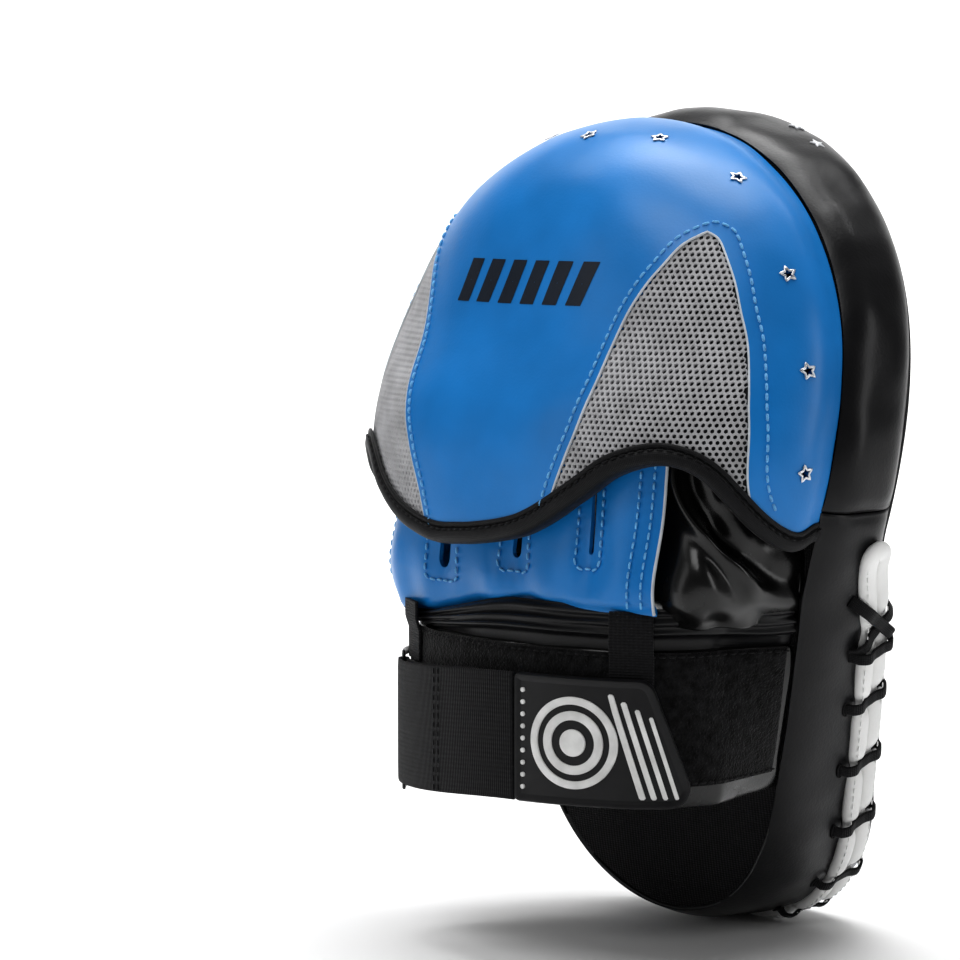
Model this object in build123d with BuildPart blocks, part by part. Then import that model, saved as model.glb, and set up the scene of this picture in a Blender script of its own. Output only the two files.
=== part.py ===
"""Focus mitt: a curved foam pad with a laced gusset, a padded finger hood, a glove and a wrist strap.

The origin is the palm's centre on the back panel. +Z points along the fingers, +Y towards the
hand and -Y out of the strike face. The thumb side is -X. All sizes are in millimetres.
"""

import os
from math import asin, atan2, cos, degrees, exp, radians, sin, sqrt

from build123d import *

os.makedirs("parts", exist_ok=True)

# Pad outline: two circles joined by their tangents.
CROWN_RADIUS = 95.0
CROWN_Z = 55.0
TAIL_RADIUS = 56.0
TAIL_Z = -54.0
TAPER = asin((CROWN_RADIUS - TAIL_RADIUS) / (CROWN_Z - TAIL_Z))

# Pad side view: two arcs, the strike face hollowed more than the back.
PAD_THICKNESS = 30.0
BACK_ARC = 670.0
BACK_APEX_Z = 20.0
FRONT_ARC = 370.0
FRONT_APEX_Z = 40.0
SKIN = 2.0
GUSSET = 2.5
STRIKE_FOAM = 8.0
BACK_FOAM = 6.0
REACH = 130.0
LOW_END = -120.0
HIGH_END = 155.0
ARCH_BASE = -20.0

# Target on the strike face.
TARGET_Z = 45.0
DISC_RADIUS = 34.0
RING_INNER = 36.0
RING_OUTER = 39.5
PRINT = 0.8

# Laced gusset.
GUSSET_SEAM_Z = 29.0
SLOT_TOP_Z = 14.0
LACE_SHARE = 0.70
SLOT_HALF = 6.5
UNDERLAY_PROUD = 0.8
LACE_WIDTH = 3.5
LACE_THICKNESS = 1.1
LACE_LIFT = 1.15
LACE_REACH = 20.0
LACE_TILT = 24.0
LACE_PASSES = 11
LACE_SPAN = 226.0
CROSS_WAY = 139.5
CROSS_REACH = 25.0
CROSS_TILT = 45.0

# Hood: arched sections from the palm side to the finger tips.
SEAM_INSET = 3.0
HOOD_LEVELS = (8.0, 30.0, 50.0, 70.0, 90.0, 108.0, 122.0, 133.0, 141.0, 146.0)
DOME_DEPTH = 52.0
DOME_FOOT_Z = 70.0
KNUCKLE_DEPTH = 18.0
KNUCKLE_Z = 72.0
KNUCKLE_BLEND = 8.0
HOOD_SKIN = 2.0
HOOD_FOAM = 5.0
HOOD_LINING = 1.0
FOAM_DEPTH = HOOD_SKIN + HOOD_FOAM
LINING_DEPTH = FOAM_DEPTH + HOOD_LINING
HOOD_EDGE = ((0, 18.5), (22, 23.5), (42, 35), (61, 46.5), (76, 43), (85, 27), (92, 6))
BINDING = 6.0
BINDING_PROUD = 1.0
MESH_INNER = ((22, 8), (38, 56), (43, 89), (58, 114.5))
MESH_OUTER = ((59, 114.5), (74, 90), (83, 62), (83.3, 10))
MESH_FLOOR_Y = 20.0
MESH_DEPTH = 0.8
MESH_THICKNESS = 1.0
STAR_ANGLES = (80.0, 60.0, 36.0, 11.0, -9.0)
STAR_POINT = 2.3
STAR_WAIST = 1.0
STAR_Y = 6.0
STAR_PUNCH = 20.0

# Glove under the hood: height, half-width and crown of each section.
GLOVE_SECTIONS = ((0, 74, 60), (12, 75, 60), (26, 72, 57), (50, 77, 57), (80, 74, 43), (100, 64, 33))
GLOVE_SKIN = 2.0
THUMB_EDGE_X = -58.0
SLOTS_X = (31.5, -2.7, -34.3)
SLOT_WIDTH = 4.0
SLOT_LOW_Z = 11.0
SLOT_HIGH_Z = 48.0
DIVIDER = 1.5
DIVIDER_LOW_Z = 12.0

# Wrist: a padded arch on flaring legs.
WRIST_HALF = 63.0
WRIST_SPRING_Y = 30.0
WRIST_CROWN_Y = 67.0
WRIST_LOW_Z = -61.0
WRIST_HIGH_Z = -12.6
WRIST_PAD = 6.0
SIDE_SHARE = 0.8
CUFF_LOW_Z = -12.4
CUFF_HIGH_Z = -0.2
CORD_LEVELS = (-9.8, -6.8, -3.8)
CORD = 1.0
CUFF_STEP = 0.2

# Layers on the wrist arch, as heights above its surface.
LOOP_TOP = 1.2
KEEPER_TOP = 2.2
HOOK_UNDER = 2.5
HOOK_TOP = 3.7
PATCH_TOP = 6.1
EMBLEM = 0.6
TURN_UNDER = 2.4
RING_UNDER = 3.8
RING_TOP = 5.0
WEB_UNDER = 5.2
WEB_TOP = 6.4
WEB = 1.2
STRAP_LOW_Z = -62.5
STRAP_WIDTH = 40.0
LOOP_LOW_Z = -54.5
LOOP_HIGH_Z = -14.5
KEEPER_WIDTH = 14.0
KEEPER_X = -50.0
KEEPER_HIGH_Z = -9.0
KEEPER_LENGTH = 34.0
SIDE_KEEPER = (35.0, 62.0)
SIDE_KEEPER_LENGTH = 11.0
LOOP_FLOOR_Y = 8.0
LOOP_EDGE_X = 46.0
PATCH_EDGE_X = -14.0
PATCH_LONG = 29.0
PATCH_SHORT = 17.0
PATCH_CORNER = 6.0
PATCH_MIDDLE = (-40.0, 60.0)
PATCH_START = -40.0
PATCH_FLOOR_Y = 31.0
HOOK_MARGIN = 2.5
ROUNDEL_X = -7.5
ROUNDEL_OUTER = 15.5
ROUNDEL_INNER = 13.0
ROUNDEL_EYE = 4.5
CLEARANCE = 0.3
SEAM_GAP = 0.1

# Angles on the arch's far side, about the centre of its side arc.
SIDE_RADIUS = SIDE_SHARE * (WRIST_CROWN_Y - WRIST_SPRING_Y)
SIDE_CENTRE_X = WRIST_HALF - SIDE_RADIUS
TURN_END = 43.5
FOLD_BAR = (48.0, 53.0)
FOLD_HINGE = 55.0
FOLD_GAP = 0.6
ANCHOR_BAR = (14.0, 19.0)
ANCHOR_SEW = 4.0
ANCHOR_END = 23.0
TURN_WALL = 2.0
RING_RAIL = 3.0

# Corners of plan regions: over the arch's crown, and down its far leg.
CROWN_CORNERS = ((90.0, 120.0), (0.0, 120.0), (0.0, 40.0))
LEG_CORNERS = ((40.0, -20.0), (130.0, -20.0), (130.0, 30.0), (40.0, 30.0))


def half_width(z, inset=0.0):
    """Half the pad's width at height z, on an outline set in by inset."""
    if z > CROWN_Z - (CROWN_RADIUS - inset) * sin(TAPER):
        return sqrt(max((CROWN_RADIUS - inset) ** 2 - (z - CROWN_Z) ** 2, 0.0))
    if z < TAIL_Z - (TAIL_RADIUS - inset) * sin(TAPER):
        return sqrt(max((TAIL_RADIUS - inset) ** 2 - (z - TAIL_Z) ** 2, 0.0))
    return (CROWN_RADIUS - inset + sin(TAPER) * (z - CROWN_Z)) / cos(TAPER)


def back_y(z, lift=0.0):
    """The back panel's surface at height z, moved by lift towards the hand."""
    return sqrt((BACK_ARC + lift) ** 2 - (z - BACK_APEX_Z) ** 2) - BACK_ARC


def front_y(z, lift=0.0):
    """The strike face's surface at height z, moved by lift towards the hand."""
    return sqrt((FRONT_ARC + lift) ** 2 - (z - FRONT_APEX_Z) ** 2) - FRONT_ARC - PAD_THICKNESS


def lace_y(z):
    """The middle of the laced slot at height z."""
    return back_y(z) + LACE_SHARE * (front_y(z) - back_y(z))


def pad_outline(inset):
    """The pad's outline, seen from the strike face."""
    taper = degrees(TAPER)
    with BuildSketch(Plane.XZ) as outline:
        with BuildLine():
            crown = CenterArc((0, CROWN_Z), CROWN_RADIUS - inset, -taper, 180 + 2 * taper)
            tail = CenterArc((0, TAIL_Z), TAIL_RADIUS - inset, 180 + taper, 180 - 2 * taper)
            Line(crown @ 1, tail @ 0)
            Line(tail @ 1, crown @ 0)
        make_face()
    return outline.sketch


def side_slab(rear, front, low, high):
    """The side view between two curves y(z), from height low to height high."""
    middle = (low + high) / 2
    with BuildSketch(Plane.YZ) as slab:
        with BuildLine():
            back = ThreePointArc((rear(low), low), (rear(middle), middle), (rear(high), high))
            face = ThreePointArc((front(low), low), (front(middle), middle), (front(high), high))
            Line(back @ 0, face @ 0)
            Line(back @ 1, face @ 1)
        make_face()
    return slab.sketch


def pad_layer(rear, front):
    """The side view of one layer over the pad's whole height."""
    return side_slab(rear, front, LOW_END, HIGH_END)


def laced_slot():
    """The side view of the slot that the lace closes."""
    return side_slab(lambda z: lace_y(z) + SLOT_HALF, lambda z: lace_y(z) - SLOT_HALF, LOW_END, SLOT_TOP_Z)


def behind_pad(lift):
    """Everything below the back panel's surface, moved by lift towards the hand."""
    return pad_layer(lambda z: back_y(z, lift), lambda z: back_y(z) - REACH)


def arch_face(z, half, spring, crown, foot, inset=0.0):
    """An arch of three arcs on two legs, at height z: the section of hood, glove and wrist band."""
    rise = crown - spring
    side = SIDE_SHARE * rise
    slack = 2 * (1 - SIDE_SHARE) * rise
    centre = spring + (1 - SIDE_SHARE) * rise / 2 - (half - side) ** 2 / slack
    turn = degrees(atan2(spring - centre, half - side))
    with BuildSketch(Plane.XY.offset(z)) as face:
        with BuildLine():
            right = CenterArc((half - side, spring), side - inset, 0, turn)
            CenterArc((0, centre), crown - centre - inset, turn, 180 - 2 * turn)
            left = CenterArc((side - half, spring), side - inset, 180 - turn, turn)
            Line((foot - inset, ARCH_BASE), right @ 0)
            Line(left @ 1, (inset - foot, ARCH_BASE))
            Line((inset - foot, ARCH_BASE), (foot - inset, ARCH_BASE))
        make_face()
    return face.sketch


def hood_depth(z):
    """How far the hood stands off the palm's plane at height z."""
    fall = max(0.0, (z - DOME_FOOT_Z) / (CROWN_Z + CROWN_RADIUS - DOME_FOOT_Z))
    dome = DOME_DEPTH * (1 - fall**3.2) ** 0.45
    knuckles = KNUCKLE_DEPTH / (1 + exp((z - KNUCKLE_Z) / KNUCKLE_BLEND))
    return dome + knuckles


def hood_sections(inset):
    """The hood's sections, on a surface set in by inset."""
    shrink = (CROWN_RADIUS - SEAM_INSET - inset) / (CROWN_RADIUS - SEAM_INSET)
    faces = []
    for z in HOOD_LEVELS:
        level = z if z < CROWN_Z else CROWN_Z + (z - CROWN_Z) * shrink
        half = half_width(z, SEAM_INSET) - inset if z < CROWN_Z else half_width(z, SEAM_INSET) * shrink
        crown = hood_depth(z) - inset
        rise = min(0.6 * crown, 0.8 * half)
        faces.append(arch_face(level, half, crown - rise, crown, half))
    return faces


def hood_edge_line():
    """The hood's lower edge, seen from the hand side."""
    near = [(-x, z) for x, z in reversed(HOOD_EDGE[1:])]
    return Spline(*near, *HOOD_EDGE)


def below_hood_edge():
    """Everything below the hood's lower edge, seen from the hand side."""
    with BuildSketch(Plane.XZ) as below:
        with BuildLine():
            edge = hood_edge_line()
            Polyline(edge @ 1, (REACH, 0), (REACH, -20), (-REACH, -20), (-REACH, 0), edge @ 0)
        make_face()
    return below.sketch


def along_hood_edge():
    """The strip that the edge binding covers, seen from the hand side."""
    with BuildSketch(Plane.XZ) as strip:
        with BuildLine() as edge:
            hood_edge_line()
        trace(edge.line, line_width=BINDING)
    return strip.sketch


def mesh_opening(side):
    """One mesh opening, seen from the hand side; side is +1 or -1. It starts behind the legs."""
    with BuildSketch(Plane.XZ.offset(-MESH_FLOOR_Y)) as opening:
        with BuildLine():
            inner = Spline(*[(side * x, z) for x, z in MESH_INNER])
            outer = Spline(*[(side * x, z) for x, z in MESH_OUTER])
            Line(inner @ 1, outer @ 0)
            Line(outer @ 1, inner @ 0)
        make_face()
    return opening.sketch


def star(plane):
    """A five-pointed punched hole on a plane."""
    points = []
    for step in range(10):
        radius = STAR_WAIST if step % 2 else STAR_POINT
        angle = radians(90 + 36 * step)
        points.append((radius * cos(angle), radius * sin(angle)))
    with BuildSketch(plane) as outline:
        Polygon(*points, align=None)
    return outline.sketch


def glove_sections(inset):
    """The glove's sections, on a surface set in by inset."""
    return [arch_face(z, half, crown / 2, crown, half, inset) for z, half, crown in GLOVE_SECTIONS]


def wrist_sections(low, high, inset):
    """The wrist band's sections at two heights; its legs flare to the pad's seams."""
    faces = []
    for z in (low, high):
        foot = half_width(z, SEAM_INSET + 0.5)
        faces.append(arch_face(z, WRIST_HALF, WRIST_SPRING_Y, WRIST_CROWN_Y, foot, inset))
    return faces


def cuff_sections(inset):
    """The cuff's sections, from the wrist band to the glove."""
    low_foot = half_width(CUFF_LOW_Z, SEAM_INSET + 0.5)
    high, half, crown = GLOVE_SECTIONS[0]
    low = arch_face(CUFF_LOW_Z, WRIST_HALF, WRIST_SPRING_Y, WRIST_CROWN_Y, low_foot, inset + CUFF_STEP)
    return [low, arch_face(CUFF_HIGH_Z, half, crown / 2, crown, half, inset)]


def wrist_arch(height, low=STRAP_LOW_Z):
    """The wrist arch's section at one height of the band, raised off its surface by height."""
    return arch_face(low, WRIST_HALF, WRIST_SPRING_Y, WRIST_CROWN_Y, WRIST_HALF, -height)


def sector(*corners):
    """A region of the plan view, at the bottom of the wrist band."""
    with BuildSketch(Plane.XY.offset(WRIST_LOW_Z - 6)) as region:
        Polygon(*corners, align=None)
    return region.sketch


def on_side(angle, radius=70.0):
    """A point of the plan view at an angle about the arch's far side centre."""
    turn = radians(angle)
    return (SIDE_CENTRE_X + radius * cos(turn), WRIST_SPRING_Y + radius * sin(turn))


def arch_band(top, under, region, low=STRAP_LOW_Z, width=STRAP_WIDTH):
    """A strip round the wrist arch between two heights above it, cut to a region of the plan view."""
    with BuildPart() as band:
        extrude(wrist_arch(top, low), amount=width)
        extrude(wrist_arch(under, low), amount=width, mode=Mode.SUBTRACT)
        extrude(region, amount=REACH, mode=Mode.INTERSECT)
    return band.part


def leg_band(top, under):
    """A strip down the arch's far leg to the pad, between two heights above it."""
    high = STRAP_LOW_Z + STRAP_WIDTH
    with BuildPart() as band:
        loft(wrist_sections(STRAP_LOW_Z, high, -top), ruled=True)
        loft(wrist_sections(STRAP_LOW_Z, high, -under), ruled=True, mode=Mode.SUBTRACT)
        extrude(sector(*LEG_CORNERS), amount=REACH, mode=Mode.INTERSECT)
    return band.part


SIDE_CENTRE = (SIDE_CENTRE_X, WRIST_SPRING_Y)

# Pad ------------------------------------------------------------------------------------------

with BuildPart() as strike_face:
    extrude(pad_layer(lambda z: front_y(z, SKIN), front_y), amount=REACH, both=True)
    extrude(pad_outline(GUSSET), amount=REACH, both=True, mode=Mode.INTERSECT)
strike_face.part.label = "strike_face"
export_step(strike_face.part, "parts/strike_face.step")

with BuildPart() as target_disc:
    extrude(pad_layer(front_y, lambda z: front_y(z, -PRINT)), amount=REACH, both=True)
    with BuildSketch(Plane.XZ) as disc:
        with Locations((0, TARGET_Z)):
            Circle(DISC_RADIUS)
    extrude(amount=REACH, mode=Mode.INTERSECT)
target_disc.part.label = "target_disc"
export_step(target_disc.part, "parts/target_disc.step")

with BuildPart() as target_ring:
    extrude(pad_layer(front_y, lambda z: front_y(z, -PRINT)), amount=REACH, both=True)
    with BuildSketch(Plane.XZ) as ring:
        with Locations((0, TARGET_Z)):
            Circle(RING_OUTER)
            Circle(RING_INNER, mode=Mode.SUBTRACT)
    extrude(amount=REACH, mode=Mode.INTERSECT)
target_ring.part.label = "target_ring"
export_step(target_ring.part, "parts/target_ring.step")

with BuildPart() as foam_strike_layer:
    extrude(
        pad_layer(lambda z: front_y(z, SKIN + STRIKE_FOAM), lambda z: front_y(z, SKIN)),
        amount=REACH,
        both=True,
    )
    extrude(pad_outline(GUSSET), amount=REACH, both=True, mode=Mode.INTERSECT)
foam_strike_layer.part.label = "foam_strike_layer"
export_step(foam_strike_layer.part, "parts/foam_strike_layer.step")

with BuildPart() as foam_core:
    extrude(
        pad_layer(lambda z: back_y(z, -SKIN - BACK_FOAM), lambda z: front_y(z, SKIN + STRIKE_FOAM)),
        amount=REACH,
        both=True,
    )
    extrude(pad_outline(GUSSET), amount=REACH, both=True, mode=Mode.INTERSECT)
foam_core.part.label = "foam_core"
export_step(foam_core.part, "parts/foam_core.step")

with BuildPart() as foam_back_layer:
    extrude(
        pad_layer(lambda z: back_y(z, -SKIN), lambda z: back_y(z, -SKIN - BACK_FOAM)),
        amount=REACH,
        both=True,
    )
    extrude(pad_outline(GUSSET), amount=REACH, both=True, mode=Mode.INTERSECT)
foam_back_layer.part.label = "foam_back_layer"
export_step(foam_back_layer.part, "parts/foam_back_layer.step")

with BuildPart() as back_panel:
    extrude(pad_layer(back_y, lambda z: back_y(z, -SKIN)), amount=REACH, both=True)
    extrude(pad_outline(GUSSET), amount=REACH, both=True, mode=Mode.INTERSECT)
back_panel.part.label = "back_panel"
export_step(back_panel.part, "parts/back_panel.step")

with BuildPart() as gusset_upper:
    extrude(side_slab(back_y, front_y, GUSSET_SEAM_Z, HIGH_END), amount=REACH, both=True)
    extrude(pad_outline(0), amount=REACH, both=True, mode=Mode.INTERSECT)
    extrude(pad_outline(GUSSET), amount=REACH, both=True, mode=Mode.SUBTRACT)
gusset_upper.part.label = "gusset_upper"
export_step(gusset_upper.part, "parts/gusset_upper.step")

with BuildPart() as gusset_lower:
    extrude(side_slab(back_y, front_y, LOW_END, GUSSET_SEAM_Z), amount=REACH, both=True)
    extrude(pad_outline(0), amount=REACH, both=True, mode=Mode.INTERSECT)
    extrude(pad_outline(GUSSET), amount=REACH, both=True, mode=Mode.SUBTRACT)
    extrude(laced_slot(), amount=REACH, both=True, mode=Mode.SUBTRACT)
gusset_lower.part.label = "gusset_lower"
export_step(gusset_lower.part, "parts/gusset_lower.step")

with BuildPart() as lace_underlay:
    extrude(laced_slot(), amount=REACH, both=True)
    extrude(pad_outline(-UNDERLAY_PROUD), amount=REACH, both=True, mode=Mode.INTERSECT)
    extrude(pad_outline(GUSSET), amount=REACH, both=True, mode=Mode.SUBTRACT)
lace_underlay.part.label = "lace_underlay"
export_step(lace_underlay.part, "parts/lace_underlay.step")

# The lace crosses the slot in slanted passes, evenly spaced round the tail, and ends in two crosses.
half_tail = TAIL_RADIUS * (radians(90) - TAPER)
passes = []
for step in range(LACE_PASSES):
    passes.append((LACE_SPAN * (step / (LACE_PASSES - 1) - 0.5), LACE_TILT, LACE_REACH))
for end in (-CROSS_WAY, CROSS_WAY):
    passes.append((end, CROSS_TILT, CROSS_REACH))
    passes.append((end, -CROSS_TILT, CROSS_REACH))
with BuildPart() as lace:
    for way, tilt, reach in passes:
        side = 1 if way > 0 else -1
        turn = min(abs(way), half_tail) / TAIL_RADIUS
        run = max(0.0, abs(way) - half_tail)
        x = TAIL_RADIUS * sin(turn) + run * sin(TAPER)
        z = TAIL_Z - TAIL_RADIUS * cos(turn) + run * cos(TAPER)
        outward = Vector(side * sin(turn), 0, -cos(turn))
        centre = Vector(side * x, lace_y(z), z) + outward * (LACE_LIFT + LACE_THICKNESS / 2)
        along = Vector(0, 1, 0).rotate(Axis((0, 0, 0), outward), tilt)
        with Locations(Plane(centre, x_dir=along, z_dir=outward)):
            Box(reach, LACE_WIDTH, LACE_THICKNESS)
lace.part.label = "lace"
export_step(lace.part, "parts/lace.step")

# Hood -----------------------------------------------------------------------------------------

with BuildPart() as hood_shell:
    loft(hood_sections(0))
    loft(hood_sections(HOOD_SKIN), mode=Mode.SUBTRACT)
    extrude(behind_pad(0), amount=REACH, both=True, mode=Mode.SUBTRACT)
    extrude(below_hood_edge(), amount=REACH, both=True, mode=Mode.SUBTRACT)
    extrude(along_hood_edge(), amount=REACH, both=True, mode=Mode.SUBTRACT)
    for side in (1, -1):
        extrude(mesh_opening(side), amount=-REACH, mode=Mode.SUBTRACT)
        for angle in STAR_ANGLES:
            outward = Vector(side * cos(radians(angle)), 0, sin(radians(angle)))
            centre = Vector(0, STAR_Y, CROWN_Z) + outward * (CROWN_RADIUS - STAR_PUNCH / 2)
            punch = star(Plane(centre, x_dir=(0, 1, 0), z_dir=outward))
            extrude(punch, amount=STAR_PUNCH, mode=Mode.SUBTRACT)
hood_shell.part.label = "hood_shell"
export_step(hood_shell.part, "parts/hood_shell.step")

with BuildPart() as hood_foam:
    loft(hood_sections(HOOD_SKIN))
    loft(hood_sections(FOAM_DEPTH), mode=Mode.SUBTRACT)
    extrude(behind_pad(0), amount=REACH, both=True, mode=Mode.SUBTRACT)
    extrude(below_hood_edge(), amount=REACH, both=True, mode=Mode.SUBTRACT)
    extrude(along_hood_edge(), amount=REACH, both=True, mode=Mode.SUBTRACT)
    for side in (1, -1):
        extrude(mesh_opening(side), amount=-REACH, mode=Mode.SUBTRACT)
hood_foam.part.label = "hood_foam"
export_step(hood_foam.part, "parts/hood_foam.step")

with BuildPart() as hood_lining:
    loft(hood_sections(FOAM_DEPTH))
    loft(hood_sections(LINING_DEPTH), mode=Mode.SUBTRACT)
    extrude(behind_pad(0), amount=REACH, both=True, mode=Mode.SUBTRACT)
    extrude(below_hood_edge(), amount=REACH, both=True, mode=Mode.SUBTRACT)
    extrude(along_hood_edge(), amount=REACH, both=True, mode=Mode.SUBTRACT)
hood_lining.part.label = "hood_lining"
export_step(hood_lining.part, "parts/hood_lining.step")

with BuildPart() as hood_edge_binding:
    loft(hood_sections(-BINDING_PROUD))
    loft(hood_sections(LINING_DEPTH + BINDING_PROUD), mode=Mode.SUBTRACT)
    extrude(behind_pad(0), amount=REACH, both=True, mode=Mode.SUBTRACT)
    extrude(along_hood_edge(), amount=REACH, both=True, mode=Mode.INTERSECT)
hood_edge_binding.part.label = "hood_edge_binding"
export_step(hood_edge_binding.part, "parts/hood_edge_binding.step")

with BuildPart() as hood_mesh_left:
    loft(hood_sections(MESH_DEPTH))
    loft(hood_sections(MESH_DEPTH + MESH_THICKNESS), mode=Mode.SUBTRACT)
    extrude(mesh_opening(1), amount=-REACH, mode=Mode.INTERSECT)
    extrude(below_hood_edge(), amount=REACH, both=True, mode=Mode.SUBTRACT)
    extrude(along_hood_edge(), amount=REACH, both=True, mode=Mode.SUBTRACT)
hood_mesh_left.part.label = "hood_mesh_left"
export_step(hood_mesh_left.part, "parts/hood_mesh_left.step")

with BuildPart() as hood_mesh_right:
    loft(hood_sections(MESH_DEPTH))
    loft(hood_sections(MESH_DEPTH + MESH_THICKNESS), mode=Mode.SUBTRACT)
    extrude(mesh_opening(-1), amount=-REACH, mode=Mode.INTERSECT)
    extrude(below_hood_edge(), amount=REACH, both=True, mode=Mode.SUBTRACT)
    extrude(along_hood_edge(), amount=REACH, both=True, mode=Mode.SUBTRACT)
hood_mesh_right.part.label = "hood_mesh_right"
export_step(hood_mesh_right.part, "parts/hood_mesh_right.step")

# Glove ----------------------------------------------------------------------------------------

with BuildPart() as glove_palm:
    loft(glove_sections(0))
    extrude(behind_pad(0), amount=REACH, both=True, mode=Mode.SUBTRACT)
    extrude(behind_pad(GLOVE_SKIN), amount=REACH, both=True, mode=Mode.INTERSECT)
glove_palm.part.label = "glove_palm"
export_step(glove_palm.part, "parts/glove_palm.step")

with BuildPart() as glove_back:
    loft(glove_sections(0))
    loft(glove_sections(GLOVE_SKIN), mode=Mode.SUBTRACT)
    extrude(behind_pad(GLOVE_SKIN), amount=REACH, both=True, mode=Mode.SUBTRACT)
    with BuildSketch(Plane.XY.offset(GLOVE_SECTIONS[0][0])) as thumb_side:
        with Locations((THUMB_EDGE_X, 0)):
            Rectangle(REACH, 2 * REACH, align=(Align.MAX, Align.CENTER))
    extrude(amount=REACH, mode=Mode.SUBTRACT)
    with BuildSketch(Plane.XZ.offset(-GLOVE_SKIN - WRIST_PAD)) as slots:
        with Locations(*[(x, (SLOT_LOW_Z + SLOT_HIGH_Z) / 2) for x in SLOTS_X]):
            SlotOverall(SLOT_HIGH_Z - SLOT_LOW_Z, SLOT_WIDTH, rotation=90)
    extrude(amount=-REACH, mode=Mode.SUBTRACT)
glove_back.part.label = "glove_back"
export_step(glove_back.part, "parts/glove_back.step")

with BuildPart() as thumb_pocket:
    loft(glove_sections(0))
    loft(glove_sections(GLOVE_SKIN), mode=Mode.SUBTRACT)
    extrude(behind_pad(GLOVE_SKIN), amount=REACH, both=True, mode=Mode.SUBTRACT)
    with BuildSketch(Plane.XY.offset(GLOVE_SECTIONS[0][0])) as thumb_zone:
        with Locations((THUMB_EDGE_X - CLEARANCE, 0)):
            Rectangle(REACH, 2 * REACH, align=(Align.MAX, Align.CENTER))
    extrude(amount=REACH, mode=Mode.INTERSECT)
thumb_pocket.part.label = "thumb_pocket"
export_step(thumb_pocket.part, "parts/thumb_pocket.step")

with BuildPart() as finger_dividers:
    loft(glove_sections(GLOVE_SKIN))
    extrude(behind_pad(GLOVE_SKIN), amount=REACH, both=True, mode=Mode.SUBTRACT)
    with BuildSketch(Plane.XY.offset(DIVIDER_LOW_Z)) as walls:
        with Locations(*[(x, 0) for x in SLOTS_X]):
            Rectangle(DIVIDER, 2 * REACH)
    extrude(amount=REACH, mode=Mode.INTERSECT)
finger_dividers.part.label = "finger_dividers"
export_step(finger_dividers.part, "parts/finger_dividers.step")

with BuildPart() as glove_cuff:
    loft(cuff_sections(0), ruled=True)
    loft(cuff_sections(GLOVE_SKIN), ruled=True, mode=Mode.SUBTRACT)
    extrude(behind_pad(0), amount=REACH, both=True, mode=Mode.SUBTRACT)
glove_cuff.part.label = "glove_cuff"
export_step(glove_cuff.part, "parts/glove_cuff.step")

with BuildPart() as cuff_cords:
    loft(cuff_sections(-CORD), ruled=True)
    loft(cuff_sections(0), ruled=True, mode=Mode.SUBTRACT)
    extrude(behind_pad(0), amount=REACH, both=True, mode=Mode.SUBTRACT)
    with BuildSketch(Plane.XZ) as cord_rows:
        with Locations(*[(0, z) for z in CORD_LEVELS]):
            Rectangle(2 * REACH, 1.2 * CORD)
    extrude(amount=-REACH, mode=Mode.INTERSECT)
cuff_cords.part.label = "cuff_cords"
export_step(cuff_cords.part, "parts/cuff_cords.step")

# Wrist band and its fixed straps --------------------------------------------------------------

with BuildPart() as wrist_band:
    loft(wrist_sections(WRIST_LOW_Z, WRIST_HIGH_Z, 0), ruled=True)
    loft(wrist_sections(WRIST_LOW_Z, WRIST_HIGH_Z, WRIST_PAD), ruled=True, mode=Mode.SUBTRACT)
    extrude(behind_pad(0), amount=REACH, both=True, mode=Mode.SUBTRACT)
wrist_band.part.label = "wrist_band"
export_step(wrist_band.part, "parts/wrist_band.step")

with BuildPart() as loop_panel:
    loft(wrist_sections(WRIST_LOW_Z, WRIST_HIGH_Z, -LOOP_TOP), ruled=True)
    loft(wrist_sections(WRIST_LOW_Z, WRIST_HIGH_Z, 0), ruled=True, mode=Mode.SUBTRACT)
    with BuildSketch(Plane.XY.offset(LOOP_LOW_Z)) as loop_zone:
        near, far = (-REACH, LOOP_FLOOR_Y), (LOOP_EDGE_X, REACH)
        Polygon(near, (near[0], far[1]), far, (far[0], near[1]), align=None)
    extrude(amount=LOOP_HIGH_Z - LOOP_LOW_Z, mode=Mode.INTERSECT)
loop_panel.part.label = "loop_panel"
export_step(loop_panel.part, "parts/loop_panel.step")

with BuildPart() as keeper_strap_front:
    loft(wrist_sections(WRIST_LOW_Z, WRIST_HIGH_Z + CLEARANCE, -KEEPER_TOP), ruled=True)
    loft(wrist_sections(WRIST_LOW_Z, WRIST_HIGH_Z + CLEARANCE, -LOOP_TOP), ruled=True, mode=Mode.SUBTRACT)
    with BuildSketch(Plane.XZ) as front_keeper:
        with Locations((KEEPER_X, KEEPER_HIGH_Z)):
            Rectangle(KEEPER_WIDTH, KEEPER_LENGTH, align=(Align.CENTER, Align.MAX))
    extrude(amount=-REACH, mode=Mode.INTERSECT)
keeper_strap_front.part.label = "keeper_strap_front"
export_step(keeper_strap_front.part, "parts/keeper_strap_front.step")

with BuildPart() as keeper_strap_side:
    loft(wrist_sections(WRIST_LOW_Z, WRIST_HIGH_Z + CLEARANCE, -LOOP_TOP), ruled=True)
    loft(wrist_sections(WRIST_LOW_Z, WRIST_HIGH_Z + CLEARANCE, -SEAM_GAP), ruled=True, mode=Mode.SUBTRACT)
    extrude(
        sector(SIDE_CENTRE, on_side(SIDE_KEEPER[0]), on_side(SIDE_KEEPER[1])),
        amount=REACH,
        mode=Mode.INTERSECT,
    )
    with BuildSketch(Plane.XZ) as side_keeper:
        with Locations((0, KEEPER_HIGH_Z)):
            Rectangle(2 * REACH, SIDE_KEEPER_LENGTH, align=(Align.CENTER, Align.MAX))
    extrude(amount=-REACH, mode=Mode.INTERSECT)
keeper_strap_side.part.label = "keeper_strap_side"
export_step(keeper_strap_side.part, "parts/keeper_strap_side.step")

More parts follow.
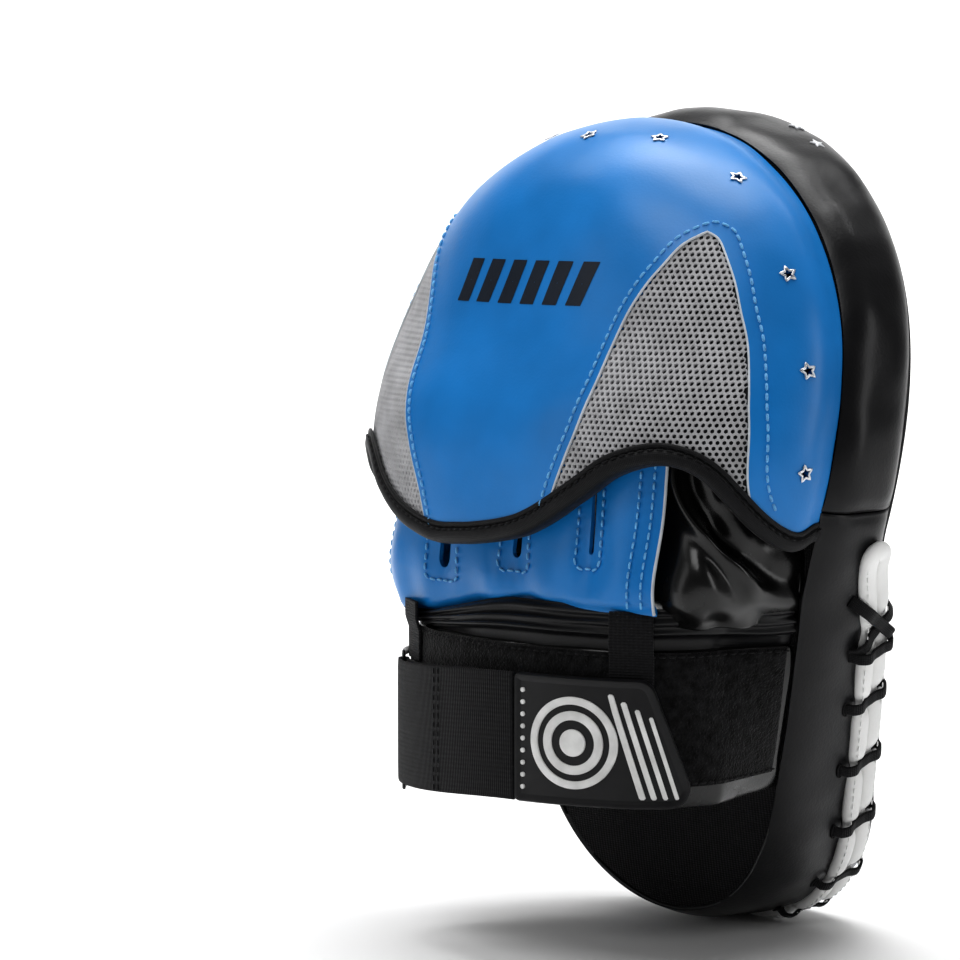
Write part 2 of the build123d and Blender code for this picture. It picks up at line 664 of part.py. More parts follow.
# The ring is a flat frame bent to the arch: a bar in the strap's turn and a bar in the anchor.
ring_span = sector(SIDE_CENTRE, on_side(ANCHOR_BAR[0]), on_side(FOLD_BAR[1]))
ring_gap = sector(SIDE_CENTRE, on_side(ANCHOR_BAR[1]), on_side(FOLD_BAR[0]))
ring_bars = arch_band(RING_TOP, RING_UNDER, ring_span)
low_rail = arch_band(RING_TOP, RING_UNDER, ring_span, STRAP_LOW_Z - RING_RAIL, RING_RAIL)
high_rail = arch_band(RING_TOP, RING_UNDER, ring_span, STRAP_LOW_Z + STRAP_WIDTH, RING_RAIL)
with BuildPart() as strap_ring:
    add(ring_bars)
    extrude(ring_gap, amount=REACH, mode=Mode.SUBTRACT)
    add(low_rail)
    add(high_rail)
strap_ring.part.label = "strap_ring"
export_step(strap_ring.part, "parts/strap_ring.step")

# The anchor comes up the far leg, turns round the ring's bar and is sewn back to itself.
anchor_span = sector(SIDE_CENTRE, on_side(0), on_side(ANCHOR_END))
anchor_gap = sector(SIDE_CENTRE, on_side(ANCHOR_SEW), on_side(ANCHOR_END - TURN_WALL))
anchor_loop = arch_band(WEB_TOP, TURN_UNDER, anchor_span)
bar_space = arch_band(WEB_UNDER, TURN_UNDER + WEB, anchor_gap)
anchor_leg = leg_band(TURN_UNDER + WEB, TURN_UNDER)
with BuildPart() as anchor_strap:
    add(anchor_loop)
    add(bar_space, mode=Mode.SUBTRACT)
    add(anchor_leg)
    extrude(behind_pad(0), amount=REACH, both=True, mode=Mode.SUBTRACT)
anchor_strap.part.label = "anchor_strap"
export_step(anchor_strap.part, "parts/anchor_strap.step")

# The strap is sewn to the band, runs out to the ring, turns round its bar and comes back.
turn_span = sector(SIDE_CENTRE, on_side(TURN_END), *CROWN_CORNERS)
turn_gap = sector(SIDE_CENTRE, on_side(TURN_END + TURN_WALL), *CROWN_CORNERS)
moving_span = sector(SIDE_CENTRE, on_side(FOLD_HINGE), *CROWN_CORNERS)
strap_loop = arch_band(WEB_TOP, TURN_UNDER, turn_span)
turn_space = arch_band(WEB_UNDER, TURN_UNDER + WEB, turn_gap)
moving_run = arch_band(WEB_TOP + 1, WEB_UNDER, moving_span)
with BuildPart() as strap_turn:
    add(strap_loop)
    add(turn_space, mode=Mode.SUBTRACT)
    add(moving_run, mode=Mode.SUBTRACT)
strap_turn.part.label = "strap_turn"
export_step(strap_turn.part, "parts/strap_turn.step")

# The moving strap: webbing, then the rubber patch with its hook tape ---------------------------

with BuildPart() as strap_webbing:
    extrude(wrist_arch(WEB_TOP), amount=STRAP_WIDTH)
    extrude(wrist_arch(WEB_UNDER), amount=STRAP_WIDTH, mode=Mode.SUBTRACT)
    fold = on_side(FOLD_HINGE + FOLD_GAP)
    sewn_edge = ((PATCH_EDGE_X, REACH), (PATCH_EDGE_X, WRIST_SPRING_Y))
    extrude(
        sector(SIDE_CENTRE, fold, CROWN_CORNERS[0], *sewn_edge),
        amount=REACH,
        mode=Mode.INTERSECT,
    )
strap_webbing.part.label = "strap_webbing"
export_step(strap_webbing.part, "parts/strap_webbing.step")

PATCH_CENTRE = Vector(*PATCH_MIDDLE, STRAP_LOW_Z + STRAP_WIDTH / 2)
PATCH_PLANE = Plane(PATCH_CENTRE, x_dir=(-0.8, -0.6, 0), z_dir=(-0.6, 0.8, 0))


def patch_outline(inset):
    """The patch's outline set in by inset, its free end slanted and rounded."""
    half = STRAP_WIDTH / 2
    with BuildSketch(PATCH_PLANE) as outline:
        near = ((PATCH_START, half), (PATCH_START, -half))
        Polygon(*near, (PATCH_LONG, -half), (PATCH_SHORT, half), align=None)
        fillet(outline.vertices().sort_by(Axis.X)[-2:], PATCH_CORNER)
        if inset > 0:
            offset(amount=-inset)
    return outline.sketch


def patch_zone(inset):
    """The patch's part of the arch, from its sewn edge to the start of the leg."""
    edge = PATCH_EDGE_X - CLEARANCE - inset
    return sector((-REACH, PATCH_FLOOR_Y), (-REACH, REACH), (edge, REACH), (edge, PATCH_FLOOR_Y))


with BuildPart() as hook_tape:
    extrude(wrist_arch(HOOK_TOP), amount=STRAP_WIDTH)
    extrude(wrist_arch(HOOK_UNDER), amount=STRAP_WIDTH, mode=Mode.SUBTRACT)
    extrude(patch_outline(HOOK_MARGIN), amount=REACH / 2, both=True, mode=Mode.INTERSECT)
    extrude(patch_zone(HOOK_MARGIN), amount=REACH, mode=Mode.INTERSECT)
hook_tape.part.label = "hook_tape"
export_step(hook_tape.part, "parts/hook_tape.step")

with BuildPart() as rubber_patch:
    extrude(wrist_arch(PATCH_TOP), amount=STRAP_WIDTH)
    extrude(wrist_arch(HOOK_TOP), amount=STRAP_WIDTH, mode=Mode.SUBTRACT)
    extrude(patch_outline(0), amount=REACH / 2, both=True, mode=Mode.INTERSECT)
    extrude(patch_zone(0), amount=REACH, mode=Mode.INTERSECT)
rubber_patch.part.label = "rubber_patch"
export_step(rubber_patch.part, "parts/rubber_patch.step")

# The raised print on the patch: a plain roundel with a solid centre.
with BuildPart() as patch_emblem:
    extrude(wrist_arch(PATCH_TOP + EMBLEM), amount=STRAP_WIDTH)
    extrude(wrist_arch(PATCH_TOP), amount=STRAP_WIDTH, mode=Mode.SUBTRACT)
    with BuildSketch(PATCH_PLANE) as roundel:
        with Locations((ROUNDEL_X, 0)):
            Circle(ROUNDEL_OUTER)
            Circle(ROUNDEL_INNER, mode=Mode.SUBTRACT)
            Circle(ROUNDEL_EYE)
    extrude(amount=REACH / 2, both=True, mode=Mode.INTERSECT)
    extrude(patch_zone(0), amount=REACH, mode=Mode.INTERSECT)
patch_emblem.part.label = "patch_emblem"
export_step(patch_emblem.part, "parts/patch_emblem.step")
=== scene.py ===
"""Focus mitt: the looks of a curved, laced punching pad with a padded hood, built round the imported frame."""

from math import asin, atan2, cos, pi, radians, sin, sqrt, tan

import bmesh
import bpy
import numpy as np
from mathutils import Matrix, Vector, noise


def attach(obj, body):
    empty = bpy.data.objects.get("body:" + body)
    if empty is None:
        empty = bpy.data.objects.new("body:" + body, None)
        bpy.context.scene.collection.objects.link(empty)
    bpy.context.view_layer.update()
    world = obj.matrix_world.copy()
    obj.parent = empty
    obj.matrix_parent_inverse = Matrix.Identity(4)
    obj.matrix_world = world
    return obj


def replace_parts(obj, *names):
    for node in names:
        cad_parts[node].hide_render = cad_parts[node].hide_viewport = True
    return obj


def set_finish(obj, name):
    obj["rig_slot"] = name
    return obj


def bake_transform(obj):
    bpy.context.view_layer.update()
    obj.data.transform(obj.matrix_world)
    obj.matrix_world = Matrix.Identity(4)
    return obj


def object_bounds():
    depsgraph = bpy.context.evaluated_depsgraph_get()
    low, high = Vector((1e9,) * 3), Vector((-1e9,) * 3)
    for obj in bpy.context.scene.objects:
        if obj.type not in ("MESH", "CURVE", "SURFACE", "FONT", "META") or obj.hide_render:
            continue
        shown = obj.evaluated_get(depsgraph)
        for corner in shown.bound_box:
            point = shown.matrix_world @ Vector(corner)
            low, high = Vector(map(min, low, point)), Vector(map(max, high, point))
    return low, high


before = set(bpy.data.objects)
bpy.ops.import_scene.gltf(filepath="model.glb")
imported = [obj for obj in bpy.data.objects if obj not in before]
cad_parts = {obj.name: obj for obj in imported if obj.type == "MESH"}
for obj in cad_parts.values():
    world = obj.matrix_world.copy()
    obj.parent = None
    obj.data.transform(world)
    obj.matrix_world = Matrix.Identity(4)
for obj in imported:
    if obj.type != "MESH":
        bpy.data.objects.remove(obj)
cad_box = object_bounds()

MM = 0.001

# Driving sizes in millimetres. They are the frame's, except that the lacing sits a little lower.
CROWN_RADIUS, CROWN_Z = 95.0, 55.0
TAIL_RADIUS, TAIL_Z = 56.0, -54.0
TAPER = asin((CROWN_RADIUS - TAIL_RADIUS) / (CROWN_Z - TAIL_Z))
BACK_ARC, BACK_APEX_Z = 670.0, 20.0
FRONT_ARC, FRONT_APEX_Z, PAD_THICKNESS = 370.0, 40.0, 30.0
GUSSET_SEAM_Z, SLOT_TOP_Z, LACE_SHARE = 29.0, 14.0, 0.74
SEAM_INSET = 3.0
RIM_LIFT, CURL_LIFT, CURL_Z = 1.5, 12.3, 26
HOOD_RADIUS = CROWN_RADIUS - SEAM_INSET
HOOD_SQUARE = 2.45
HOOD_LEAN = 6.0
GLOVE_SQUARE = 4.2
WRIST_HALF, WRIST_SPRING, WRIST_CROWN, SIDE_SHARE = 63.0, 30.0, 67.0, 0.8
WRIST_LOW_Z, WRIST_HIGH_Z = -61.0, -12.6


# Materials


class Paint:
    """A node material built round one Principled shader."""

    def __init__(self, name, **sockets):
        self.material = bpy.data.materials.new(name)
        self.material.use_nodes = True
        self.tree = self.material.node_tree
        self.shader = self.tree.nodes["Principled BSDF"]
        for socket, value in sockets.items():
            self.shader.inputs[socket.replace("_", " ")].default_value = value
        self.height = None

    def node(self, kind, **settings):
        made = self.tree.nodes.new(kind)
        for key, value in settings.items():
            if hasattr(made, key):
                setattr(made, key, value)
            else:
                made.inputs[key.replace("_", " ")].default_value = value
        return made

    def link(self, source, target):
        self.tree.links.new(source, target)
        return self

    def coords(self, uv=False, scale=(1, 1, 1), turn=0.0):
        """Object space in millimetres, or the map of surface lengths in millimetres."""
        place = self.node("ShaderNodeTexCoord")
        mapping = self.node("ShaderNodeMapping")
        mapping.inputs["Scale"].default_value = scale if uv else [1000 * s for s in scale]
        mapping.inputs["Rotation"].default_value = (0, 0, turn)
        self.link(place.outputs["UV" if uv else "Object"], mapping.inputs["Vector"])
        return mapping.outputs["Vector"]

    def ramp(self, source, low, high, start=0.3, end=0.7):
        ramp = self.node("ShaderNodeValToRGB")
        ramp.color_ramp.elements[0].color = (*low, 1)
        ramp.color_ramp.elements[1].color = (*high, 1)
        ramp.color_ramp.elements[0].position = start
        ramp.color_ramp.elements[1].position = end
        self.link(source, ramp.inputs["Fac"])
        return ramp.outputs["Color"]

    def colour(self, source, low, high, start=0.3, end=0.7):
        return self.link(self.ramp(source, low, high, start, end), self.shader.inputs["Base Color"])

    def rough(self, source, low, high):
        spread = self.node("ShaderNodeMapRange")
        spread.inputs["To Min"].default_value = low
        spread.inputs["To Max"].default_value = high
        self.link(source, spread.inputs["Value"])
        return self.link(spread.outputs["Result"], self.shader.inputs["Roughness"])

    def bump(self, source, depth, strength=1.0):
        """Adds a relief of the given depth in millimetres."""
        bump = self.node("ShaderNodeBump")
        bump.inputs["Strength"].default_value = strength
        bump.inputs["Distance"].default_value = depth * MM
        self.link(source, bump.inputs["Height"])
        if self.height is not None:
            self.link(self.height, bump.inputs["Normal"])
        self.height = bump.outputs["Normal"]
        return self.link(self.height, self.shader.inputs["Normal"])

    def noise(self, coords, scale, detail=3.0):
        made = self.node("ShaderNodeTexNoise", Scale=scale, Detail=detail)
        self.link(coords, made.inputs["Vector"])
        return made.outputs["Fac"]

    def cells(self, coords, scale):
        made = self.node("ShaderNodeTexVoronoi", Scale=scale)
        self.link(coords, made.inputs["Vector"])
        return made.outputs["Distance"]

    def wave(self, coords, scale, direction):
        made = self.node("ShaderNodeTexWave", Scale=scale)
        made.bands_direction = direction
        made.wave_profile = "SIN"
        self.link(coords, made.inputs["Vector"])
        return made.outputs["Color"]


def shade(colour, share):
    return tuple(min(1.0, c * share) for c in colour)


def leather(name, colour, low, high, grain=0.05, coat=0.0, crease=0.25, shine=0.5):
    """Synthetic leather: pebble grain, faint creases and uneven gloss."""
    paint = Paint(name, Specular_IOR_Level=shine, Coat_Weight=coat, Coat_Roughness=0.25)
    space = paint.coords()
    paint.colour(paint.noise(space, 0.03), shade(colour, 0.86), shade(colour, 1.1))
    paint.rough(paint.noise(space, 0.06), low, high)
    paint.bump(paint.cells(space, 1.1), grain, 0.6)
    paint.bump(paint.noise(space, 0.9, 5), grain * 0.8, 0.6)
    paint.bump(paint.noise(space, 0.07, 3), crease, 0.5)
    return paint.material


def woven(name, colour, across, along, depth, rough):
    """A weave on the map of surface lengths: warp and weft at their real pitch."""
    paint = Paint(name, Specular_IOR_Level=0.2, Sheen_Weight=0.06, Sheen_Roughness=0.5)
    space = paint.coords(uv=True)
    warp = paint.wave(space, across, "X")
    weft = paint.wave(space, along, "Y")
    paint.colour(weft, shade(colour, 0.65), shade(colour, 1.35), 0.2, 0.8)
    paint.rough(paint.noise(space, 0.6), rough - 0.08, rough + 0.08)
    paint.bump(warp, depth, 0.7)
    paint.bump(weft, depth, 0.7)
    paint.bump(paint.noise(space, 3.0), depth * 0.6, 0.5)
    return paint.material


def velvet():
    paint = Paint("black_velvet", Specular_IOR_Level=0.1, Sheen_Weight=0.15, Sheen_Roughness=0.45)
    space = paint.coords()
    paint.colour(paint.noise(space, 0.35, 5), (0.003, 0.003, 0.003), (0.016, 0.016, 0.017))
    paint.rough(paint.noise(space, 0.8), 0.85, 1.0)
    paint.bump(paint.noise(space, 1.6, 6), 0.5, 0.9)
    paint.bump(paint.cells(space, 0.9), 0.35, 0.6)
    return paint.material


def moulded(name, colour, rough=0.45):
    paint = Paint(name, Specular_IOR_Level=0.35)
    space = paint.coords()
    paint.colour(paint.noise(space, 0.15), shade(colour, 0.85), shade(colour, 1.12))
    paint.rough(paint.noise(space, 0.4), rough - 0.06, rough + 0.08)
    paint.bump(paint.noise(space, 2.5, 4), 0.03, 0.5)
    return paint.material


def thread(name, colour, sheen=0.3):
    paint = Paint(name, Specular_IOR_Level=0.2, Sheen_Weight=sheen)
    space = paint.coords()
    paint.colour(paint.noise(space, 1.2), shade(colour, 0.75), shade(colour, 1.2))
    paint.rough(paint.noise(space, 2.0), 0.55, 0.75)
    paint.bump(paint.wave(space, 1.6, "DIAGONAL"), 0.08, 0.8)
    return paint.material


def knit(name, colour, depth=0.15):
    paint = Paint(name, Specular_IOR_Level=0.25, Sheen_Weight=0.3)
    space = paint.coords()
    paint.colour(paint.cells(space, 1.0), shade(colour, 0.7), shade(colour, 1.25), 0.1, 0.6)
    paint.rough(paint.noise(space, 1.0), 0.75, 0.95)
    paint.bump(paint.cells(space, 1.0), depth, 0.8)
    return paint.material


def foil():
    paint = Paint("silver_foil", Metallic=0.9, Specular_IOR_Level=0.5)
    space = paint.coords()
    paint.colour(paint.noise(space, 0.8), (0.55, 0.56, 0.58), (0.85, 0.86, 0.88))
    paint.rough(paint.noise(space, 1.5), 0.25, 0.42)
    paint.bump(paint.noise(space, 3.0), 0.02, 0.5)
    return paint.material


BLUE = (0.008, 0.205, 0.57)
MATERIALS = {
    "blue_leather": leather("blue_leather", BLUE, 0.3, 0.42, 0.03, 0.08, 0.12, 0.4),
    "black_leather": leather("black_leather", (0.006, 0.006, 0.007), 0.3, 0.44, 0.05, 0.16, 0.4, 0.24),
    "gloss_leather": leather("gloss_leather", (0.004, 0.004, 0.004), 0.2, 0.32, 0.03, 0.25, 0.5, 0.4),
    "white_leather": leather("white_leather", (0.82, 0.82, 0.81), 0.4, 0.55, 0.05, 0.0, 0.3),
    "print_white": leather("print_white", (0.78, 0.8, 0.83), 0.4, 0.52, 0.04, 0.0, 0.1),
    "print_dark": leather("print_dark", (0.012, 0.018, 0.03), 0.32, 0.45, 0.03, 0.0, 0.1, 0.35),
    "print_blue": leather("print_blue", BLUE, 0.32, 0.45, 0.04, 0.1, 0.1),
    "mesh_grey": moulded("mesh_grey", (0.52, 0.52, 0.535), 0.6),
    "black_textile": woven("black_textile", (0.007, 0.007, 0.008), 0.25, 0.42, 0.18, 0.85),
    "black_binding": woven("black_binding", (0.007, 0.007, 0.008), 0.6, 0.6, 0.06, 0.5),
    "black_velvet": velvet(),
    "black_webbing": woven("black_webbing", (0.007, 0.007, 0.008), 0.22, 0.35, 0.2, 0.75),
    "black_lace": woven("black_lace", (0.008, 0.008, 0.009), 0.5, 0.5, 0.12, 0.7),
    "lining": knit("lining", (0.014, 0.014, 0.015)),
    "foam": knit("foam", (0.035, 0.035, 0.037), 0.08),
    "patch_rubber": moulded("patch_rubber", (0.008, 0.008, 0.009), 0.42),
    "patch_white": moulded("patch_white", (0.74, 0.74, 0.73), 0.5),
    "hook_nylon": knit("hook_nylon", (0.01, 0.01, 0.01), 0.3),
    "ring_metal": moulded("ring_metal", (0.012, 0.012, 0.013), 0.3),
    "thread_blue": thread("thread_blue", (0.17, 0.5, 0.95)),
    "thread_black": thread("thread_black", (0.008, 0.008, 0.009), 0.05),
    "silver_foil": foil(),
    "edge_white": moulded("edge_white", (0.62, 0.66, 0.7), 0.6),
}
SLOTS = {"edge_white": "white_leather", "print_dark": "black_leather"}


# Mesh helpers


def piece(name, points, faces, paint, body="mitt", uv=None, smooth=True):
    """A mesh object from points in millimetres; it rides on a body and has a material and slot."""
    mesh = bpy.data.meshes.new(name)
    mesh.from_pydata((np.asarray(points, float) * MM).tolist(), [], faces)
    if uv is not None:
        layer = mesh.uv_layers.new(name="lengths")
        corners = np.empty(len(mesh.loops), np.int32)
        mesh.loops.foreach_get("vertex_index", corners)
        layer.data.foreach_set("uv", np.asarray(uv, np.float32)[corners].ravel())
    mesh.validate()
    if smooth:
        mesh.polygons.foreach_set("use_smooth", [True] * len(mesh.polygons))
    mesh.materials.append(MATERIALS[paint])
    made = bpy.data.objects.new(name, mesh)
    bpy.context.scene.collection.objects.link(made)
    if body is not None:
        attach(made, body)
    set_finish(made, SLOTS.get(paint, paint))
    return made


def grid_faces(rows, columns, wrap_rows=False, wrap_columns=False, start=0):
    """Quads of a grid whose points are stored row by row."""
    faces = []
    for i in range(rows if wrap_rows else rows - 1):
        for j in range(columns if wrap_columns else columns - 1):
            k, m = (i + 1) % rows, (j + 1) % columns
            faces.append(
                tuple(start + q for q in (i * columns + j, k * columns + j, k * columns + m, i * columns + m))
            )
    return faces


def prism_faces(start, count):
    """Faces of a prism whose two ends are loops of points, stored one after the other."""
    sides = []
    for k in range(count):
        m = (k + 1) % count
        sides.append((start + k, start + m, start + count + m, start + count + k))
    ends = [tuple(range(start + count - 1, start - 1, -1)), tuple(range(start + count, start + 2 * count))]
    return sides + ends


def grid_normals(grid):
    """Unit normals of a grid of points."""
    normal = np.cross(np.gradient(grid, axis=0), np.gradient(grid, axis=1))
    length = np.linalg.norm(normal, axis=2, keepdims=True)
    return normal / np.maximum(length, 1e-9)


def outward_normals(grid, middle):
    """Normals that point away from a middle point, and whether the grid's own ones point towards it."""
    normal = grid_normals(grid)
    outward = np.sign((normal * (grid - np.array(middle))).sum(2, keepdims=True))
    return normal * outward, outward.mean() < 0


def grid_lengths(grid):
    """A map of surface lengths, in millimetres, over a grid of points."""
    along = np.zeros(grid.shape[:2])
    across = np.zeros(grid.shape[:2])
    along[1:] = np.cumsum(np.linalg.norm(np.diff(grid, axis=0), axis=2), axis=0)
    across[:, 1:] = np.cumsum(np.linalg.norm(np.diff(grid, axis=1), axis=2), axis=1)
    along = np.broadcast_to(along.mean(1, keepdims=True), along.shape)
    return np.stack([across, along], axis=2)


def skin_faces(rows, columns, flip=False):
    """Faces of a closed skin: a grid, the same grid behind it, and the strip round their edge."""
    count = rows * columns
    faces = [f if flip else f[::-1] for f in grid_faces(rows, columns)]
    faces += [tuple(q + count for q in f[::-1]) for f in faces]
    edge = (
        list(range(columns))
        + [i * columns + columns - 1 for i in range(1, rows)]
        + [(rows - 1) * columns + j for j in range(columns - 2, -1, -1)]
        + [i * columns for i in range(rows - 2, 0, -1)]
    )
    for a, b in zip(edge, edge[1:] + edge[:1]):
        faces.append((b, a, a + count, b + count) if flip else (a, b, b + count, a + count))
    return faces


def shell(name, grid, thickness, paint, flip=False):
    """A closed skin: a grid of points and the same grid set back along its normals."""
    back = grid - grid_normals(grid) * (-1 if flip else 1) * thickness
    points = np.concatenate([grid.reshape(-1, 3), back.reshape(-1, 3)])
    uv = grid_lengths(grid).reshape(-1, 2)
    made = piece(name, points, skin_faces(*grid.shape[:2], flip), paint, uv=np.concatenate([uv, uv]))
    fix_normals(made)
    return made


def fix_normals(obj):
    """Turns every face outwards."""
    work = bmesh.new()
    work.from_mesh(obj.data)
    bmesh.ops.remove_doubles(work, verts=work.verts, dist=1e-6)
    bmesh.ops.recalc_face_normals(work, faces=work.faces)
    work.to_mesh(obj.data)
    work.free()


def resample(path, step=None, count=None):
    """Points evenly spaced along a polyline."""
    path = np.asarray(path, float)
    lengths = np.concatenate([[0], np.cumsum(np.linalg.norm(np.diff(path, axis=0), axis=1))])
    count = count or max(2, int(round(lengths[-1] / step)) + 1)
    at = np.linspace(0, lengths[-1], count)
    return np.stack([np.interp(at, lengths, path[:, k]) for k in range(path.shape[1])], axis=1)


def unit(vectors):
    return vectors / np.maximum(np.linalg.norm(vectors, axis=-1, keepdims=True), 1e-9)


def sweep(name, path, up, half_width_mm, half_height, paint, body="mitt", square=2.0, sides=14, closed=False):
    """A rounded band swept along a path; up gives the direction of its thickness at each point."""
    path = np.asarray(path, float)
    along = np.gradient(path, axis=0)
    if closed:
        along = np.roll(path, -1, 0) - np.roll(path, 1, 0)
    along = unit(along)
    up = unit(np.asarray(up, float) - along * (np.asarray(up, float) * along).sum(1, keepdims=True))
    sideways = np.cross(along, up)
    turn = np.linspace(0, 2 * pi, sides, endpoint=False)
    wide = np.sign(np.cos(turn)) * np.abs(np.cos(turn)) ** (2 / square)
    high = np.sign(np.sin(turn)) * np.abs(np.sin(turn)) ** (2 / square)
    a = np.broadcast_to(np.asarray(half_width_mm, float), len(path))[:, None, None]
    b = np.broadcast_to(np.asarray(half_height, float), len(path))[:, None, None]
    rings = path[:, None] + sideways[:, None] * wide[None, :, None] * a
    rings = rings + up[:, None] * high[None, :, None] * b
    faces = grid_faces(len(path), sides, closed, True)
    points = rings.reshape(-1, 3)
    lengths = np.concatenate([[0], np.cumsum(np.linalg.norm(np.diff(path, axis=0), axis=1))])
    uv = np.stack(np.broadcast_arrays(a[:, :, 0] * wide[None], lengths[:, None]), axis=2).reshape(-1, 2)
    if not closed:
        last = (len(path) - 1) * sides
        faces = faces + [tuple(range(sides)), tuple(last + q for q in range(sides - 1, -1, -1))]
    made = piece(name, points, faces, paint, body, uv)
    fix_normals(made)
    return made


def stitches(name, lines, paint, pitch, length, radius, lift, body="mitt"):
    """Rows of thread along lines of points and normals: a rounded capsule, half sunk, for each stitch."""
    points, faces = [], []
    sides = 6
    for path, up in lines:
        both = resample(np.concatenate([path, up], axis=1), step=pitch)
        place, lean = both[:, :3], unit(both[:, 3:])
        along = unit(np.gradient(place, axis=0))
        for p, n, t in zip(place, lean, along):
            n = n - t * (n @ t)
            n = n / max(np.linalg.norm(n), 1e-9)
            side = np.cross(t, n)
            start = len(points)
            for share, size in ((-0.5, 0.35), (-0.38, 0.9), (0, 1.0), (0.38, 0.9), (0.5, 0.35)):
                sink = -0.5 * radius * (2 * abs(share)) ** 3
                for k in range(sides):
                    turn = 2 * pi * k / sides
                    out = n * sin(turn) + side * cos(turn)
                    points.append(p + t * share * length + n * (lift + sink) + out * size * radius)
            faces += grid_faces(5, sides, False, True, start)
            faces.append(tuple(start + k for k in range(sides)))
            faces.append(tuple(start + 4 * sides + k for k in range(sides - 1, -1, -1)))
    made = piece(name, points, faces, paint, body)
    fix_normals(made)
    return made


def apply_modifiers(obj):
    bpy.context.view_layer.update()
    graph = bpy.context.evaluated_depsgraph_get()
    result = bpy.data.meshes.new_from_object(obj.evaluated_get(graph))
    obj.modifiers.clear()
    obj.data = result


def solidify(obj, thickness, even=True):
    modifier = obj.modifiers.new("thickness", "SOLIDIFY")
    modifier.thickness = thickness * MM
    modifier.offset = -1
    modifier.use_even_offset = even
    apply_modifiers(obj)


def shade_smooth(obj):
    obj.data.polygons.foreach_set("use_smooth", [True] * len(obj.data.polygons))


def cut(target, cutter):
    """Cuts the cutter's shape out of the target."""
    modifier = target.modifiers.new("cut", "BOOLEAN")
    modifier.operation = "DIFFERENCE"
    modifier.solver = "EXACT"
    modifier.object = cutter
    apply_modifiers(target)
    bpy.data.objects.remove(cutter, do_unlink=True)


def wrinkle(points, scale, depth, seed=0.0, stretch=(1, 1, 1)):
    """Smooth noise of the given depth at each point; scale is the size of a fold in millimetres."""
    flat = np.asarray(points, float).reshape(-1, 3) * np.array(stretch) / scale + seed
    values = [noise.noise(Vector(p)) for p in flat]
    return depth * np.array(values).reshape(np.asarray(points).shape[:-1])


def bell(value, middle, width):
    """A smooth hump of height 1 round a middle value."""
    return np.exp(-(((value - middle) / width) ** 2))


def smoothstep(value, low, high):
    t = np.clip((value - low) / (high - low), 0, 1)
    return t * t * (3 - 2 * t)


# The pad's surfaces


def half_width(z, inset=0.0):
    z = np.asarray(z, float)
    crown = np.sqrt(np.maximum((CROWN_RADIUS - inset) ** 2 - (z - CROWN_Z) ** 2, 0))
    tail = np.sqrt(np.maximum((TAIL_RADIUS - inset) ** 2 - (z - TAIL_Z) ** 2, 0))
    line = (CROWN_RADIUS - inset + sin(TAPER) * (z - CROWN_Z)) / cos(TAPER)
    high = z > CROWN_Z - (CROWN_RADIUS - inset) * sin(TAPER)
    low = z < TAIL_Z - (TAIL_RADIUS - inset) * sin(TAPER)
    return np.where(high, crown, np.where(low, tail, line))


def back_y(z):
    return np.sqrt(BACK_ARC**2 - (np.asarray(z, float) - BACK_APEX_Z) ** 2) - BACK_ARC


def front_y(z):
    return np.sqrt(FRONT_ARC**2 - (np.asarray(z, float) - FRONT_APEX_Z) ** 2) - FRONT_ARC - PAD_THICKNESS


def curl(z):
    """How far the pad's rim curls up round the hand at height z."""
    z = np.asarray(z, float)
    return RIM_LIFT + CURL_LIFT * bell(z, CURL_Z, np.where(z < CURL_Z, 52.0, 66.0))


def rear_rim(z):
    return back_y(z) + curl(z)


def face_rim(z):
    """The strike face's rim: the side wall is deepest round the tail."""
    return front_y(z) + curl(z) - 6.5 * smoothstep(22 - np.asarray(z, float), 0, 30)


def rim_share(x, z):
    """1 at the pad's rim, falling to 0 some way in."""
    return (1 - np.clip(rim_distance(x, z) / 55.0, 0, 1)) ** 2


def back_surface(x, z):
    return back_y(z) + curl(z) * rim_share(x, z)


def outline(way):
    """Points and outward normals of the outline; way runs from the tail's foot, + towards +X."""
    way = np.asarray(way, float)
    side = np.where(way < 0, -1.0, 1.0)
    run = np.abs(way)
    tail = TAIL_RADIUS * (pi / 2 - TAPER)
    straight = (CROWN_Z - TAIL_Z) * cos(TAPER)
    low = np.minimum(run, tail) / TAIL_RADIUS
    middle = np.clip(run - tail, 0, straight)
    high = np.maximum(run - tail - straight, 0) / CROWN_RADIUS
    angle = low + high
    on_tail = run <= tail + straight
    x = np.where(
        on_tail,
        TAIL_RADIUS * np.sin(low) + middle * sin(TAPER),
        CROWN_RADIUS * np.sin(angle),
    )
    z = np.where(
        on_tail,
        TAIL_Z - TAIL_RADIUS * np.cos(low) + middle * cos(TAPER),
        CROWN_Z - CROWN_RADIUS * np.cos(angle),
    )
    return side * x, z, side * np.sin(angle), -np.cos(angle)


TAIL_RUN = TAIL_RADIUS * (pi / 2 - TAPER)
STRAIGHT_RUN = (CROWN_Z - TAIL_Z) * cos(TAPER)
HALF_RUN = TAIL_RUN + STRAIGHT_RUN + CROWN_RADIUS * (pi / 2 + TAPER)
SLOT_RUN = TAIL_RUN + (SLOT_TOP_Z - TAIL_Z + TAIL_RADIUS * sin(TAPER)) / cos(TAPER)
SEAM_RUN = TAIL_RUN + (GUSSET_SEAM_Z - TAIL_Z + TAIL_RADIUS * sin(TAPER)) / cos(TAPER)


